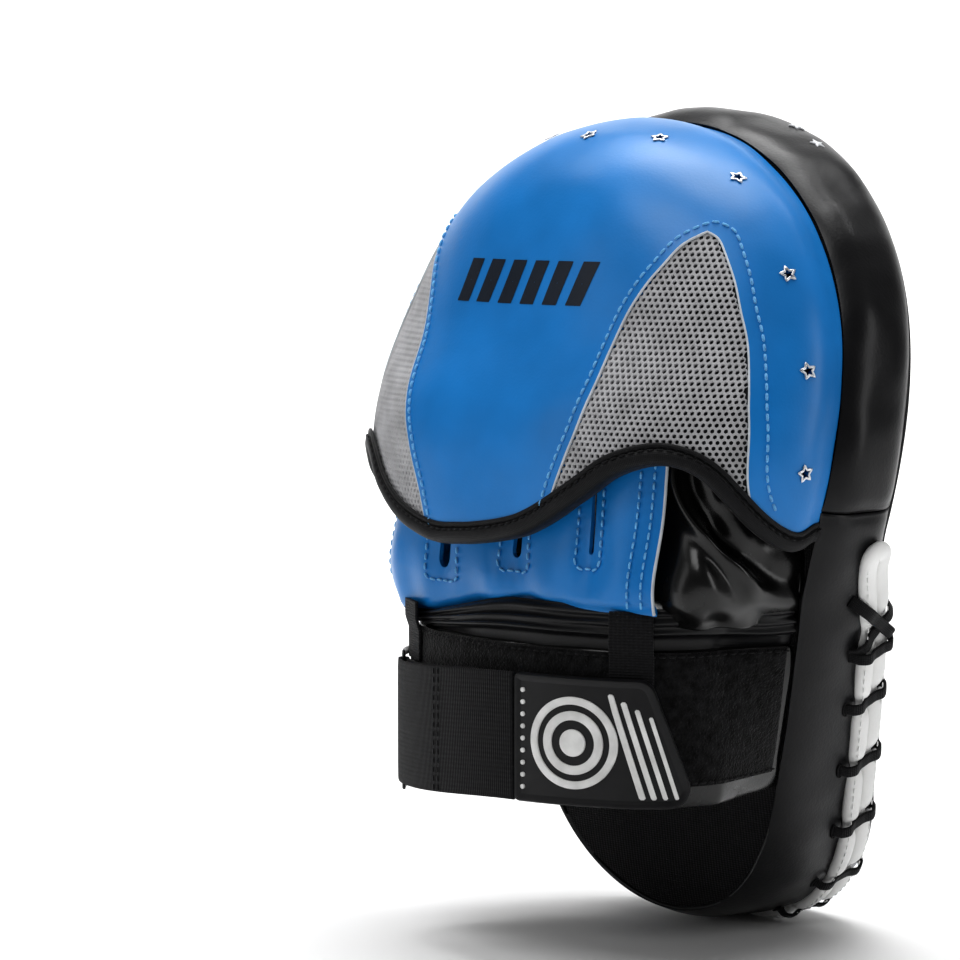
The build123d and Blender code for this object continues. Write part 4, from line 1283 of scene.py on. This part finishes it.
def slot_cutter():
    """A slim upright cutter with a round foot at each gap between the fingers."""
    points, faces = [], []
    for slot, low, wide in zip(SLOTS_X, SLOT_FEET, SLOT_HALVES):
        turn = np.linspace(pi, 2 * pi, 9)
        ring = [(slot + wide * cos(t), low + wide + 1.2 * wide * sin(t)) for t in turn]
        ring += [(slot + wide * 0.8, 58), (slot - wide * 0.8, 58)]
        start, count = len(points), len(ring)
        for y in (30.0, 80.0):
            points += [(x, y, z) for x, z in ring]
        faces += prism_faces(start, count)
    made = piece("slot_cutter", points, faces, "lining", body=None, smooth=False)
    fix_normals(made)
    return made


def glove_line(x, z, lift=0.25):
    return glove_skin(*np.broadcast_arrays(x, z), lift)


def make_glove_stitches():
    """Stitching round each slot and down the glove's sides, and the thumb edge's pale cut side."""
    lines = []
    for slot, low, wide in zip(SLOTS_X, SLOT_FEET, (8.0, 6.5, 5.0)):
        foot = low - 4.5
        right = np.array([(wide, 56), (wide, foot + 1.5), (wide - 1.5, foot)])
        loop = np.vstack([right, right[::-1] * (-1, 1)]) + (slot, 0)
        lines.append(glove_line(*resample(loop, step=1.0).T))
    z = np.linspace(2.0, 56, 60)
    lines += [glove_line(thumb_edge(z) + inset, z) for inset in (3.2, 7.5)]
    lines += [glove_line(glove_half(z) - inset, z) for inset in (4.0, 8.0)]
    stitches("glove_stitches", lines, "thread_blue", pitch=3.1, length=2.2, radius=0.4, lift=0.35)
    edge = np.linspace(-1.0, 60, 70)
    path, up = glove_line(thumb_edge(edge), edge, -0.4)
    sweep("glove_cut_edge", path, up, 0.45, 0.8, "edge_white", sides=8)


def make_dividers():
    made = []
    for slot in SLOTS_X:
        z = np.linspace(9, 62, 30)[:, None]
        y = np.linspace(6, 55.5, 24)[None]
        x = slot + 0.5 * np.sin(z / 9) + 0 * y
        grid = np.stack(np.broadcast_arrays(x, y - 3.5 * smoothstep(z, 40, 62) * y / 55, z), axis=2)
        made.append(shell("divider", grid, 1.0, "lining"))
    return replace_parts(join("finger_gussets", made), "finger_dividers")


def make_glove_palm():
    x = np.linspace(-72, 72, 60)[None]
    z = np.linspace(0, 98, 50)[:, None]
    grid = np.stack(np.broadcast_arrays(x, back_surface(x, z) + 1.9 + 0 * x, z), axis=2)
    made = shell("glove_palm_leather", grid, 1.4, "black_leather")
    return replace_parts(made, "glove_palm")


def make_thumb_pocket():
    """Soft glossy leather between the blue edge and the seam, sunk and folded over the thumb."""
    across = np.linspace(0, 1, 90)[None]
    z = np.linspace(-6.5, 56, 114)[:, None]
    half = glove_half(z)
    first = np.arccos(np.clip(-(thumb_edge(z) + 5) / half, -1, 1))
    bend = np.minimum(across / 0.62, 1.0)
    x = -half * np.cos(first * (1 - bend))
    grid = glove_xy(np.clip(x, -half, half), z)
    down = np.maximum(across - 0.62, 0) / 0.38
    grid[..., 1] = grid[..., 1] * (1 - down) + (back_surface(grid[..., 0], z) + 1.0) * down
    grid[..., 0] = grid[..., 0] - 1.5 * np.sin(pi * down)
    normal, inward = outward_normals(grid, (-20.0, 0, 20.0))
    a, b = np.broadcast_arrays(across, z)
    sink = -6.0 * bell(a, 0, 0.16) - 2.0
    lobe = 6.5 * bell(a, 0.26, 0.13) * bell(b, 7, 13)
    ridge_at = 0.10 + 0.40 * smoothstep(b, 44, 2)
    ridge = 4.8 * bell(a, ridge_at, 0.045) * smoothstep(b, -2, 16)
    valley = -3.0 * bell(a, ridge_at + 0.10, 0.06) * smoothstep(b, -4, 10)
    belly = 4.0 * bell(a, 0.66, 0.15) * bell(b, 10, 20)
    crease = 0.84 * np.sin(a * 34 + b * 0.16 + 2 * np.sin(b * 0.11)) * bell(a, 0.5, 0.25)
    foot = -3.0 * smoothstep(b, 3, -6)
    lift = sink + lobe + ridge + valley + belly + crease + foot + wrinkle(grid, 13, 1.5, 4.4)
    grid = grid + normal * lift[..., None]
    made = shell("thumb_leather", grid, 1.2, "gloss_leather", flip=inward)
    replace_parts(made, "thumb_pocket")
    line = grid[:, 72]
    return sweep("thumb_seam", line + normal[:, 72] * 0.5, normal[:, 72], 0.8, 0.9, "black_leather", sides=8)


# Wrist

SIDE_R = SIDE_SHARE * (WRIST_CROWN - WRIST_SPRING)
SLACK = 2 * (1 - SIDE_SHARE) * (WRIST_CROWN - WRIST_SPRING)
ARCH_CENTRE = WRIST_SPRING + SLACK / 4 - (WRIST_HALF - SIDE_R) ** 2 / SLACK
ARCH_R = WRIST_CROWN - ARCH_CENTRE
ARCH_TURN = atan2(WRIST_SPRING - ARCH_CENTRE, WRIST_HALF - SIDE_R)
TOP_RUN = ARCH_R * (pi / 2 - ARCH_TURN)
SIDE_RUN = SIDE_R * ARCH_TURN
LEG_RUN = 30.0
ARCH_RUN = TOP_RUN + SIDE_RUN + LEG_RUN


def wrist_point(run, z, lift=0.0):
    """A point and normal over the wrist arch; run is the length from its crown, + towards +X."""
    run, z, lift = np.broadcast_arrays(*[np.asarray(q, float) for q in (run, z, lift)])
    side = np.where(run < 0, -1.0, 1.0)
    s = np.abs(run)
    top = pi / 2 - np.minimum(s, TOP_RUN) / ARCH_R
    flank = ARCH_TURN - np.clip(s - TOP_RUN, 0, SIDE_RUN) / SIDE_R
    on_top = s <= TOP_RUN
    angle = np.where(on_top, top, flank)
    nx, ny = np.cos(angle), np.sin(angle)
    x = np.where(on_top, ARCH_R * nx, WRIST_HALF - SIDE_R + SIDE_R * nx)
    y = np.where(on_top, ARCH_CENTRE + ARCH_R * ny, WRIST_SPRING + SIDE_R * ny)
    down = np.clip((s - TOP_RUN - SIDE_RUN) / LEG_RUN, 0, 1.1)
    foot = half_width(z, SEAM_INSET + 0.5)
    x = x + (foot - WRIST_HALF) * down
    y = y - (WRIST_SPRING - rear_rim(z)) * down
    point = np.stack([side * (x + lift * nx), y + lift * ny, z], axis=-1)
    return point, np.stack([side * nx, ny, 0 * nx], axis=-1)


PATCH_TOP = 6.1
STRAP_HALF, WEB_HALF = 19.9, 0.6
STRAP_Z, ANCHOR_Z = -44.5, -45.0
# Heights over the band: the strap's inner run, the ring, and the strap's outer run.
INNER_LEVEL, RING_LEVEL, OUTER_LEVEL = 3.0, 4.4, 5.8
FOLD_RUN = TOP_RUN + (ARCH_TURN - radians(55.3)) * SIDE_R
TURN_RUN = TOP_RUN + (ARCH_TURN - radians(45.0)) * SIDE_R


def strap_z(run):
    """The strap's middle height: it climbs a little from the ring to the patch."""
    return STRAP_Z + 3.8 * smoothstep(np.asarray(run, float), 52, -16)


def make_velvet():
    """The loop pile the strap closes on: a rounded sheet lying on the wrist arch."""
    first, last = -ARCH_RUN + 3, TOP_RUN + 9
    low_z, high_z, lift, thickness = -54.3, -13.2, 0.1, 1.1
    rows, columns = 50, int(abs(last - first) / 1.2)
    share = (1 - np.cos(np.linspace(0, pi, rows))) / 2
    z = (low_z + (high_z - low_z) * share)[:, None]
    run = np.linspace(first, last, columns)[None]
    rim_z = 1 - np.abs(2 * share - 1) ** 6
    rim_run = 1 - np.abs(2 * np.linspace(0, 1, columns) - 1) ** 40
    height = lift + thickness * (0.35 + 0.65 * rim_z[:, None] * rim_run[None])
    grid, normal = wrist_point(run, z, height)
    grid = grid + normal * wrinkle(grid, 16, 0.3, 1.0)[..., None]
    points = np.concatenate([grid.reshape(-1, 3), wrist_point(run, z, lift)[0].reshape(-1, 3)])
    flat = np.stack(np.broadcast_arrays(run, z), axis=2).reshape(-1, 2)
    faces = skin_faces(rows, columns, flip=True)
    made = piece("velvet_panel", points, faces, "black_velvet", uv=np.concatenate([flat, flat]))
    fix_normals(made)
    smooth_by_angle(made, 50)
    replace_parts(made, "loop_panel")
    lines = [wrist_point(np.linspace(first + 1, last - 1, 200), height, 1.25) for height in (-53.2, -14.3)]
    stitches("velvet_stitches", lines, "thread_black", pitch=3.0, length=2.1, radius=0.3, lift=0.1)


def make_wrist_band():
    """The padded band: glossy leather rolled round foam."""
    ring = np.linspace(0, 2 * pi, 56, endpoint=False)
    run = np.linspace(-ARCH_RUN, ARCH_RUN, 190)
    middle, half = (WRIST_LOW_Z + WRIST_HIGH_Z) / 2, (WRIST_HIGH_Z - WRIST_LOW_Z) / 2
    z = middle + half * np.sign(np.sin(ring)) * np.abs(np.sin(ring)) ** 0.28
    lift = -3.0 + 3.2 * np.sign(np.cos(ring)) * np.abs(np.cos(ring)) ** 0.6
    grid, normal = wrist_point(run[:, None], z[None], lift[None])
    grid = grid + normal * wrinkle(grid, 12, 0.8, 8.1)[..., None]
    faces = grid_faces(190, 56, False, True)
    faces += [tuple(range(56)), tuple(189 * 56 + k for k in range(55, -1, -1))]
    made = piece("wrist_band_leather", grid.reshape(-1, 3), faces, "gloss_leather")
    fix_normals(made)
    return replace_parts(made, "wrist_band")


def make_cuff():
    """The leather cuff with its corded rows, from the band up to the glove."""
    rows = 60
    step = np.linspace(0, 1, rows)[:, None]
    run = np.linspace(-ARCH_RUN, ARCH_RUN, 240)[None]
    squash = wrist_point(run, -13.0)[0][..., 0] / WRIST_HALF
    high_x = np.clip(np.sign(squash) * 75.5 * np.clip(np.abs(squash), 0, 1) ** 0.9, -75, 75)
    z = -13.4 + (glove_foot(high_x) + 14.2) * step
    low, _ = wrist_point(run, z)
    high = glove_xy(high_x + 0 * z, 0 * z)
    high[..., 1] = np.where(np.abs(run) > TOP_RUN + SIDE_RUN * 0.75, low[..., 1], high[..., 1])
    share = smoothstep(step, 0.03, 0.9)
    blend = 0.55 * share[..., None] ** 2
    grid = low * (1 - blend) + high * blend
    grid[..., 2] = z
    normal, inward = outward_normals(grid, (0, 0, -7.0))
    cords = sum(1.5 * bell(step, level, 0.08) for level in (0.42, 0.64, 0.86))
    lift = cords - 2.2 + wrinkle(grid, 20, 1.0, 6.6) + np.sin(pi * share)
    grid = grid + normal * lift[..., None]
    grid[..., 2] += wrinkle(grid, 40, 0.8, 12.0)
    made = shell("cuff_leather", grid, 1.5, "black_leather", flip=inward)
    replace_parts(made, "glove_cuff", "cuff_cords")
    return made


def flat_webbing(name, run, z, level):
    """Webbing of the strap's width, laid along the wrist arch."""
    path, _ = wrist_point(run, z, level)
    across = np.tile([0.0, 0.0, 1.0], (len(path), 1))
    up = np.cross(across, unit(np.gradient(path, axis=0)))
    return sweep(name, path, up, STRAP_HALF, WEB_HALF, "black_webbing", square=8, sides=36)


def flank_run(angle):
    """The run along the arch where its flank has turned down to an angle."""
    return TOP_RUN + (ARCH_TURN - radians(angle)) * SIDE_R


def make_straps():
    """The fixed straps: keepers, anchor, ring and the strap's inner run with its turn."""
    keeper = keeper_strap("keeper_front_webbing", -51.6, -38.0, -0.5, 2.0)
    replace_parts(keeper, "keeper_strap_front")
    keeper = keeper_strap("keeper_side_webbing", 48.5, -24.0, -5.0, 1.6)
    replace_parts(keeper, "keeper_strap_side")
    # The strap lies on the band, turns round the ring's bar and comes back out to the hinge.
    inner = np.linspace(3, TURN_RUN - 2.0, 60)
    turn = np.linspace(-pi / 2, pi / 2, 15)
    run = np.concatenate([inner, TURN_RUN - 2.0 + 2.0 * np.cos(turn)[1:-1], [FOLD_RUN + 2.0, FOLD_RUN]])
    bend = RING_LEVEL + 1.4 * np.sin(turn)
    level = np.concatenate([inner * 0 + INNER_LEVEL, bend[1:-1], [OUTER_LEVEL, OUTER_LEVEL]])
    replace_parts(flat_webbing("strap_inner_run", run, strap_z(run), level), "strap_turn")
    start = flank_run(17)
    back = start - 1.5 - 1.6 * np.cos(turn[::-1])
    run = np.concatenate([[start + 14, start + 3.0], back, np.linspace(start + 3, ARCH_RUN, 40)])
    level = np.concatenate([[5.6, OUTER_LEVEL], bend[::-1], np.full(40, INNER_LEVEL)])
    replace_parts(flat_webbing("anchor_webbing", run, ANCHOR_Z, level), "anchor_strap")
    low, high = -66.6, -23.4
    first, last = flank_run(50.5), flank_run(16.5)
    corners = [(first, low), (last, low), (last, high), (first, high), (first, low)]
    flat = resample(np.array(corners), count=121)[:-1]
    path, up = wrist_point(flat[:, 0], flat[:, 1], RING_LEVEL)
    made = sweep("ring_wire", path, up, 1.25, 0.62, "ring_metal", square=3, sides=12, closed=True)
    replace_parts(made, "strap_ring")


def keeper_strap(name, run, low, high, lift):
    """A vertical webbing strap that steps from the band over the cuff to the glove."""
    z = np.linspace(high, low, 60)
    path, up = wrist_point(run, z, lift)
    bulge = 1.2 * smoothstep(z, -15.0, -10.0) * smoothstep(z, 0.0, -3.0)
    path = path + up * bulge[:, None]
    side = wrist_point(run + 1, z, lift)[0] - wrist_point(run - 1, z, lift)[0]
    tangent = unit(np.gradient(path, axis=0))
    return sweep(name, path, np.cross(side, tangent), 7.0, WEB_HALF, "black_webbing", square=7, sides=28)


def make_strap_webbing():
    """The moving webbing, from the ring to the patch."""
    run = np.linspace(FOLD_RUN, -13.9, 70)
    path, up = wrist_point(run, strap_z(run), OUTER_LEVEL)
    made = sweep("strap_web_band", path, up, STRAP_HALF, 0.62, "black_webbing", None, square=8, sides=44)
    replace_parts(made, "strap_webbing")
    hinge, _ = wrist_point(FOLD_RUN, ANCHOR_Z, OUTER_LEVEL)
    after, _ = wrist_point(FOLD_RUN - 9.0, ANCHOR_Z, OUTER_LEVEL)
    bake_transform(made)
    rise = np.linspace(-18.5, 18.5, 60)
    lines = [wrist_point(np.full(60, at), strap_z(at) + rise, 6.45) for at in (20.0, 22.5)]
    stitches("strap_web_stitches", lines, "thread_black", 2.8, 2.0, 0.3, 0.1, "strap_web")
    return made


# Patch


def rounded(corners, radii, steps=10):
    """A polygon with rounded corners, as points."""
    corners = [np.array(c, float) for c in corners]
    points = []
    for k, corner in enumerate(corners):
        before = unit(corners[k - 1] - corner)
        after = unit(corners[(k + 1) % len(corners)] - corner)
        half = np.arccos(np.clip(before @ after, -1, 1)) / 2
        reach = radii[k] / np.tan(half)
        middle = corner + unit(before + after) * radii[k] / np.sin(half)
        start, end = corner + before * reach - middle, corner + after * reach - middle
        a0 = np.arctan2(start[1], start[0])
        a1 = np.arctan2(end[1], end[0])
        turn = (a1 - a0 + pi) % (2 * pi) - pi
        for t in np.linspace(0, 1, steps):
            points.append(middle + radii[k] * np.array([np.cos(a0 + turn * t), np.sin(a0 + turn * t)]))
    points.append(points[0])
    return np.array(points)


def plate(name, loop, profile, paint, count, hole=False):
    """A moulded plate on the wrist arch: its outline in run and height, its rim a profile of insets."""
    loop = resample(loop, count=count + 1)[:-1]
    along = unit(np.roll(loop, -1, 0) - np.roll(loop, 1, 0))
    inward = np.stack([-along[:, 1], along[:, 0]], axis=1)
    centre = loop.mean(0)
    inward = inward * np.sign((inward * (centre - loop)).sum())
    rings, lifts = [], []
    for inset, lift in profile:
        rings.append(loop + inward * inset)
        lifts.append(lift)
    inner = rings[-1]
    if not hole:
        for share in np.linspace(0, 1, 22)[1:]:
            rings.append(inner + (centre - inner) * share * 0.9995)
            lifts.append(lifts[len(profile) - 1])
    flat = np.array(rings)
    level = np.array(lifts)[:, None] + 0 * flat[..., 0]
    grid, _ = wrist_point(flat[..., 0], flat[..., 1], level)
    faces = grid_faces(len(rings), count, hole, True)
    if not hole:
        faces.append(tuple((len(rings) - 1) * count + k for k in range(count)))
        faces.append(tuple(range(count - 1, -1, -1)))
    made = piece(name, grid.reshape(-1, 3), faces, paint, "strap_end", flat.reshape(-1, 2))
    fix_normals(made)
    smooth_by_angle(made, 50)
    return made


PATCH_LEFT, PATCH_SHORT, PATCH_LONG = -14.3, -57.4, -70.0
BEVEL = 0.18


def patch_loop():
    """The patch's outline: square at the webbing, slanted and rounded at its free end."""
    low, high = -60.8, -20.9
    corners = ((PATCH_LEFT, low), (PATCH_LONG, low + 0.8), (PATCH_SHORT, high + 0.2), (PATCH_LEFT, high))
    return rounded(corners, (1.5, 6.0, 5.0, 1.5))


def make_patch():
    top = PATCH_TOP
    rim = ((0.0, 3.7), (0.0, 5.6), (0.5, top + 0.5), (1.7, top + 0.5), (2.3, top - 0.1), (2.6, top - 0.1))
    made = plate("patch_body", patch_loop(), rim, "patch_rubber", 220)
    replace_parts(made, "rubber_patch")
    right = PATCH_LEFT - 3
    hook = rounded(((right, -58), (PATCH_LONG + 6, -58), (PATCH_SHORT + 3, -24), (right, -24)), (2, 3, 3, 2))
    made = plate("hook_tape_pad", hook, ((0, 3.65), (0, 2.6), (0.3, 2.5)), "hook_nylon", 120)
    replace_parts(made, "hook_tape")
    make_emblem()


def ring_profile(width, base, top):
    """A raised line's section: two walls and a flat top with bevelled edges."""
    rise = ((0, base), (0, top - BEVEL), (BEVEL, top))
    return (*rise, (width - BEVEL, top), (width, top - BEVEL), (width, base))


def circle(x, z, radius, count=90):
    turn = np.linspace(0, 2 * pi, count + 1)
    return np.stack([x + radius * np.cos(turn), z + radius * np.sin(turn)], axis=1)


def make_emblem():
    """The patch's raised print: a plain target roundel, slanted bars and a row of dots."""
    base, top = PATCH_TOP - 0.3, PATCH_TOP + 0.5
    middle, lean = (-34.8, -41.0), 0.27
    solid = ((0, base), (0, top - BEVEL), (BEVEL, top))
    parts = []
    for radius, width, count in ((14.2, 2.4, 90), (9.8, 2.8, 80)):
        ring = ring_profile(width, base, top)
        parts.append(plate("roundel", circle(*middle, radius), ring, "patch_white", count, True))
    parts.append(plate("roundel", circle(*middle, 4.2), solid, "patch_white", 60))
    for number in range(4):
        shift = -51.0 - 2.9 * number
        wide = 0.85 - 0.1 * number
        ends = ((-57.2, (-wide, wide)), (-25.3 - 2.2 * number, (wide, -wide)))
        corners = [(shift + side + lean * (z + 41), z) for z, sides in ends for side in sides]
        parts.append(plate("bar", rounded(corners, (0.4,) * 4, 5), solid, "patch_white", 90))
    for number in range(9):
        dot = circle(-17.6, -56.0 + 3.75 * number, 0.75, 24)
        parts.append(plate("dot", dot, solid, "patch_white", 24))
    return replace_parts(join("patch_print", parts), "patch_emblem")


# Small printed marks


def make_printed_stars():
    """Two small white stars on the upper side wall."""
    parts = []
    for way, share, size in ((-307.0, 0.64, 2.7), (-320.5, 0.71, 2.7)):
        corners = star_outline(size, size * 0.45, 0.3)
        ring = resample(np.vstack([corners, corners[:1]]), count=61)[:-1]
        points = [gusset_point(way + ring[:, 0], share + ring[:, 1] / 30.0, lift) for lift in (-0.4, 0.25)]
        faces = grid_faces(2, 60, False, True)
        faces += [tuple(range(59, -1, -1)), tuple(range(60, 120))]
        made = piece("star", np.concatenate(points), faces, "print_white")
        fix_normals(made)
        parts.append(made)
    return join("gusset_stars", parts)


# Stage


def area_light(name, place, target, size, power):
    data = bpy.data.lights.new(name, "AREA")
    data.shape = "RECTANGLE"
    data.size, data.size_y = size
    data.energy = power
    made = bpy.data.objects.new(name, data)
    made.location = place
    made.rotation_euler = (Vector(target) - Vector(place)).to_track_quat("-Z", "Y").to_euler()
    bpy.context.scene.collection.objects.link(made)
    return made


CAMERA_AZIMUTH, CAMERA_RISE, CAMERA_DISTANCE, CAMERA_LENS = 48.0, 5.0, 1.3, 151.6
CAMERA_TARGET = Vector((0.0383, 0.0382, 0.0329))


def camera_side():
    a, e = radians(CAMERA_AZIMUTH), radians(CAMERA_RISE)
    return Vector((-sin(a) * cos(e), cos(a) * cos(e), sin(e)))


def make_stage():
    """Camera, soft lights and a pale floor that curves up behind the mitt."""
    camera = bpy.data.cameras.new("camera")
    camera.sensor_width = 36.0
    camera.lens = CAMERA_LENS
    camera.clip_start = 0.05
    holder = bpy.data.objects.new("camera", camera)
    holder.location = CAMERA_TARGET + camera_side() * CAMERA_DISTANCE
    holder.rotation_euler = (-camera_side()).to_track_quat("-Z", "Y").to_euler()
    bpy.context.scene.collection.objects.link(holder)
    bpy.context.scene.camera = holder

    a = radians(CAMERA_AZIMUTH)
    front = Vector((-sin(a), cos(a), 0))
    right = Vector((-cos(a), -sin(a), 0))
    floor_z = cad_box[0][2] - 0.0015
    reach, bend = 3.0, 0.8
    profile = [(reach, 0.0)]
    profile += [(-reach + bend - bend * sin(t), bend - bend * cos(t)) for t in np.linspace(0, pi / 2, 14)]
    profile += [(-reach, reach)]
    points = []
    for along, height in profile:
        for across in (-4.0, 4.0):
            spot = front * along + right * across
            points.append((1000 * spot.x, 1000 * spot.y, 1000 * (floor_z + height)))
    paint = Paint("stage_white", Roughness=0.9, Specular_IOR_Level=0.1)
    paint.colour(paint.noise(paint.coords(), 0.004), (0.86, 0.86, 0.86), (0.9, 0.9, 0.9))
    MATERIALS["stage_white"] = paint.material
    floor = piece("stage_floor", points, grid_faces(len(profile), 2), "stage_white", body=None)
    del floor["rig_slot"]

    world = bpy.data.worlds.new("studio")
    world.use_nodes = True
    world.node_tree.nodes["Background"].inputs["Color"].default_value = (1, 1, 1, 1)
    world.node_tree.nodes["Background"].inputs["Strength"].default_value = 0.12
    bpy.context.scene.world = world
    view = bpy.context.scene.view_settings
    view.view_transform = "Standard"
    view.look = "Medium High Contrast"

    aim = (0, 0.02, 0.03)
    area_light("key_top", front * 0.5 - right * 0.4 + Vector((0, 0, 1.0)), aim, (0.7, 0.5), 3.8)
    area_light("fill_right", front * 0.5 + right * 1.0 + Vector((0, 0, 0.35)), aim, (0.3, 0.9), 2.2)
    area_light("fill_left", front * 0.3 - right * 1.1 + Vector((0, 0, 0.3)), aim, (0.3, 0.9), 0.9)
    wall = front * -2.6 + Vector((0, 0, 0.6))
    area_light("wall_wash", front * -0.8 + Vector((0, 0, 1.9)), wall, (3.0, 0.6), 75)
    area_light("floor_wash", front * -0.5 + Vector((0, 0, 2.2)), front * -0.5, (1.6, 1.2), 30)


def main():
    make_stage()
    make_gusset("gusset_upper_leather", SEAM_RUN + 0.4, 2 * HALF_RUN - SEAM_RUN - 0.4, "gusset_upper", 300)
    make_gusset("gusset_lower_leather", -SEAM_RUN + 0.2, SEAM_RUN - 0.2, "gusset_lower", 420)
    make_strike_face()
    make_foam()
    make_back_panel()
    make_prints()
    make_underlay()
    make_lace()
    make_hood_shell()
    make_star_rims()
    make_mesh_net(1, "mesh_net_left", "hood_mesh_left")
    make_mesh_net(-1, "mesh_net_right", "hood_mesh_right")
    make_hood_inside()
    make_hood_trim()
    make_hood_print()
    make_binding()
    for name in HOOD_PIECES:
        lean_over(bpy.data.objects[name])
    make_glove_back()
    make_glove_stitches()
    make_dividers()
    make_glove_palm()
    make_thumb_pocket()
    make_wrist_band()
    make_cuff()
    make_velvet()
    make_straps()
    make_strap_webbing()
    make_patch()
    make_printed_stars()


main()
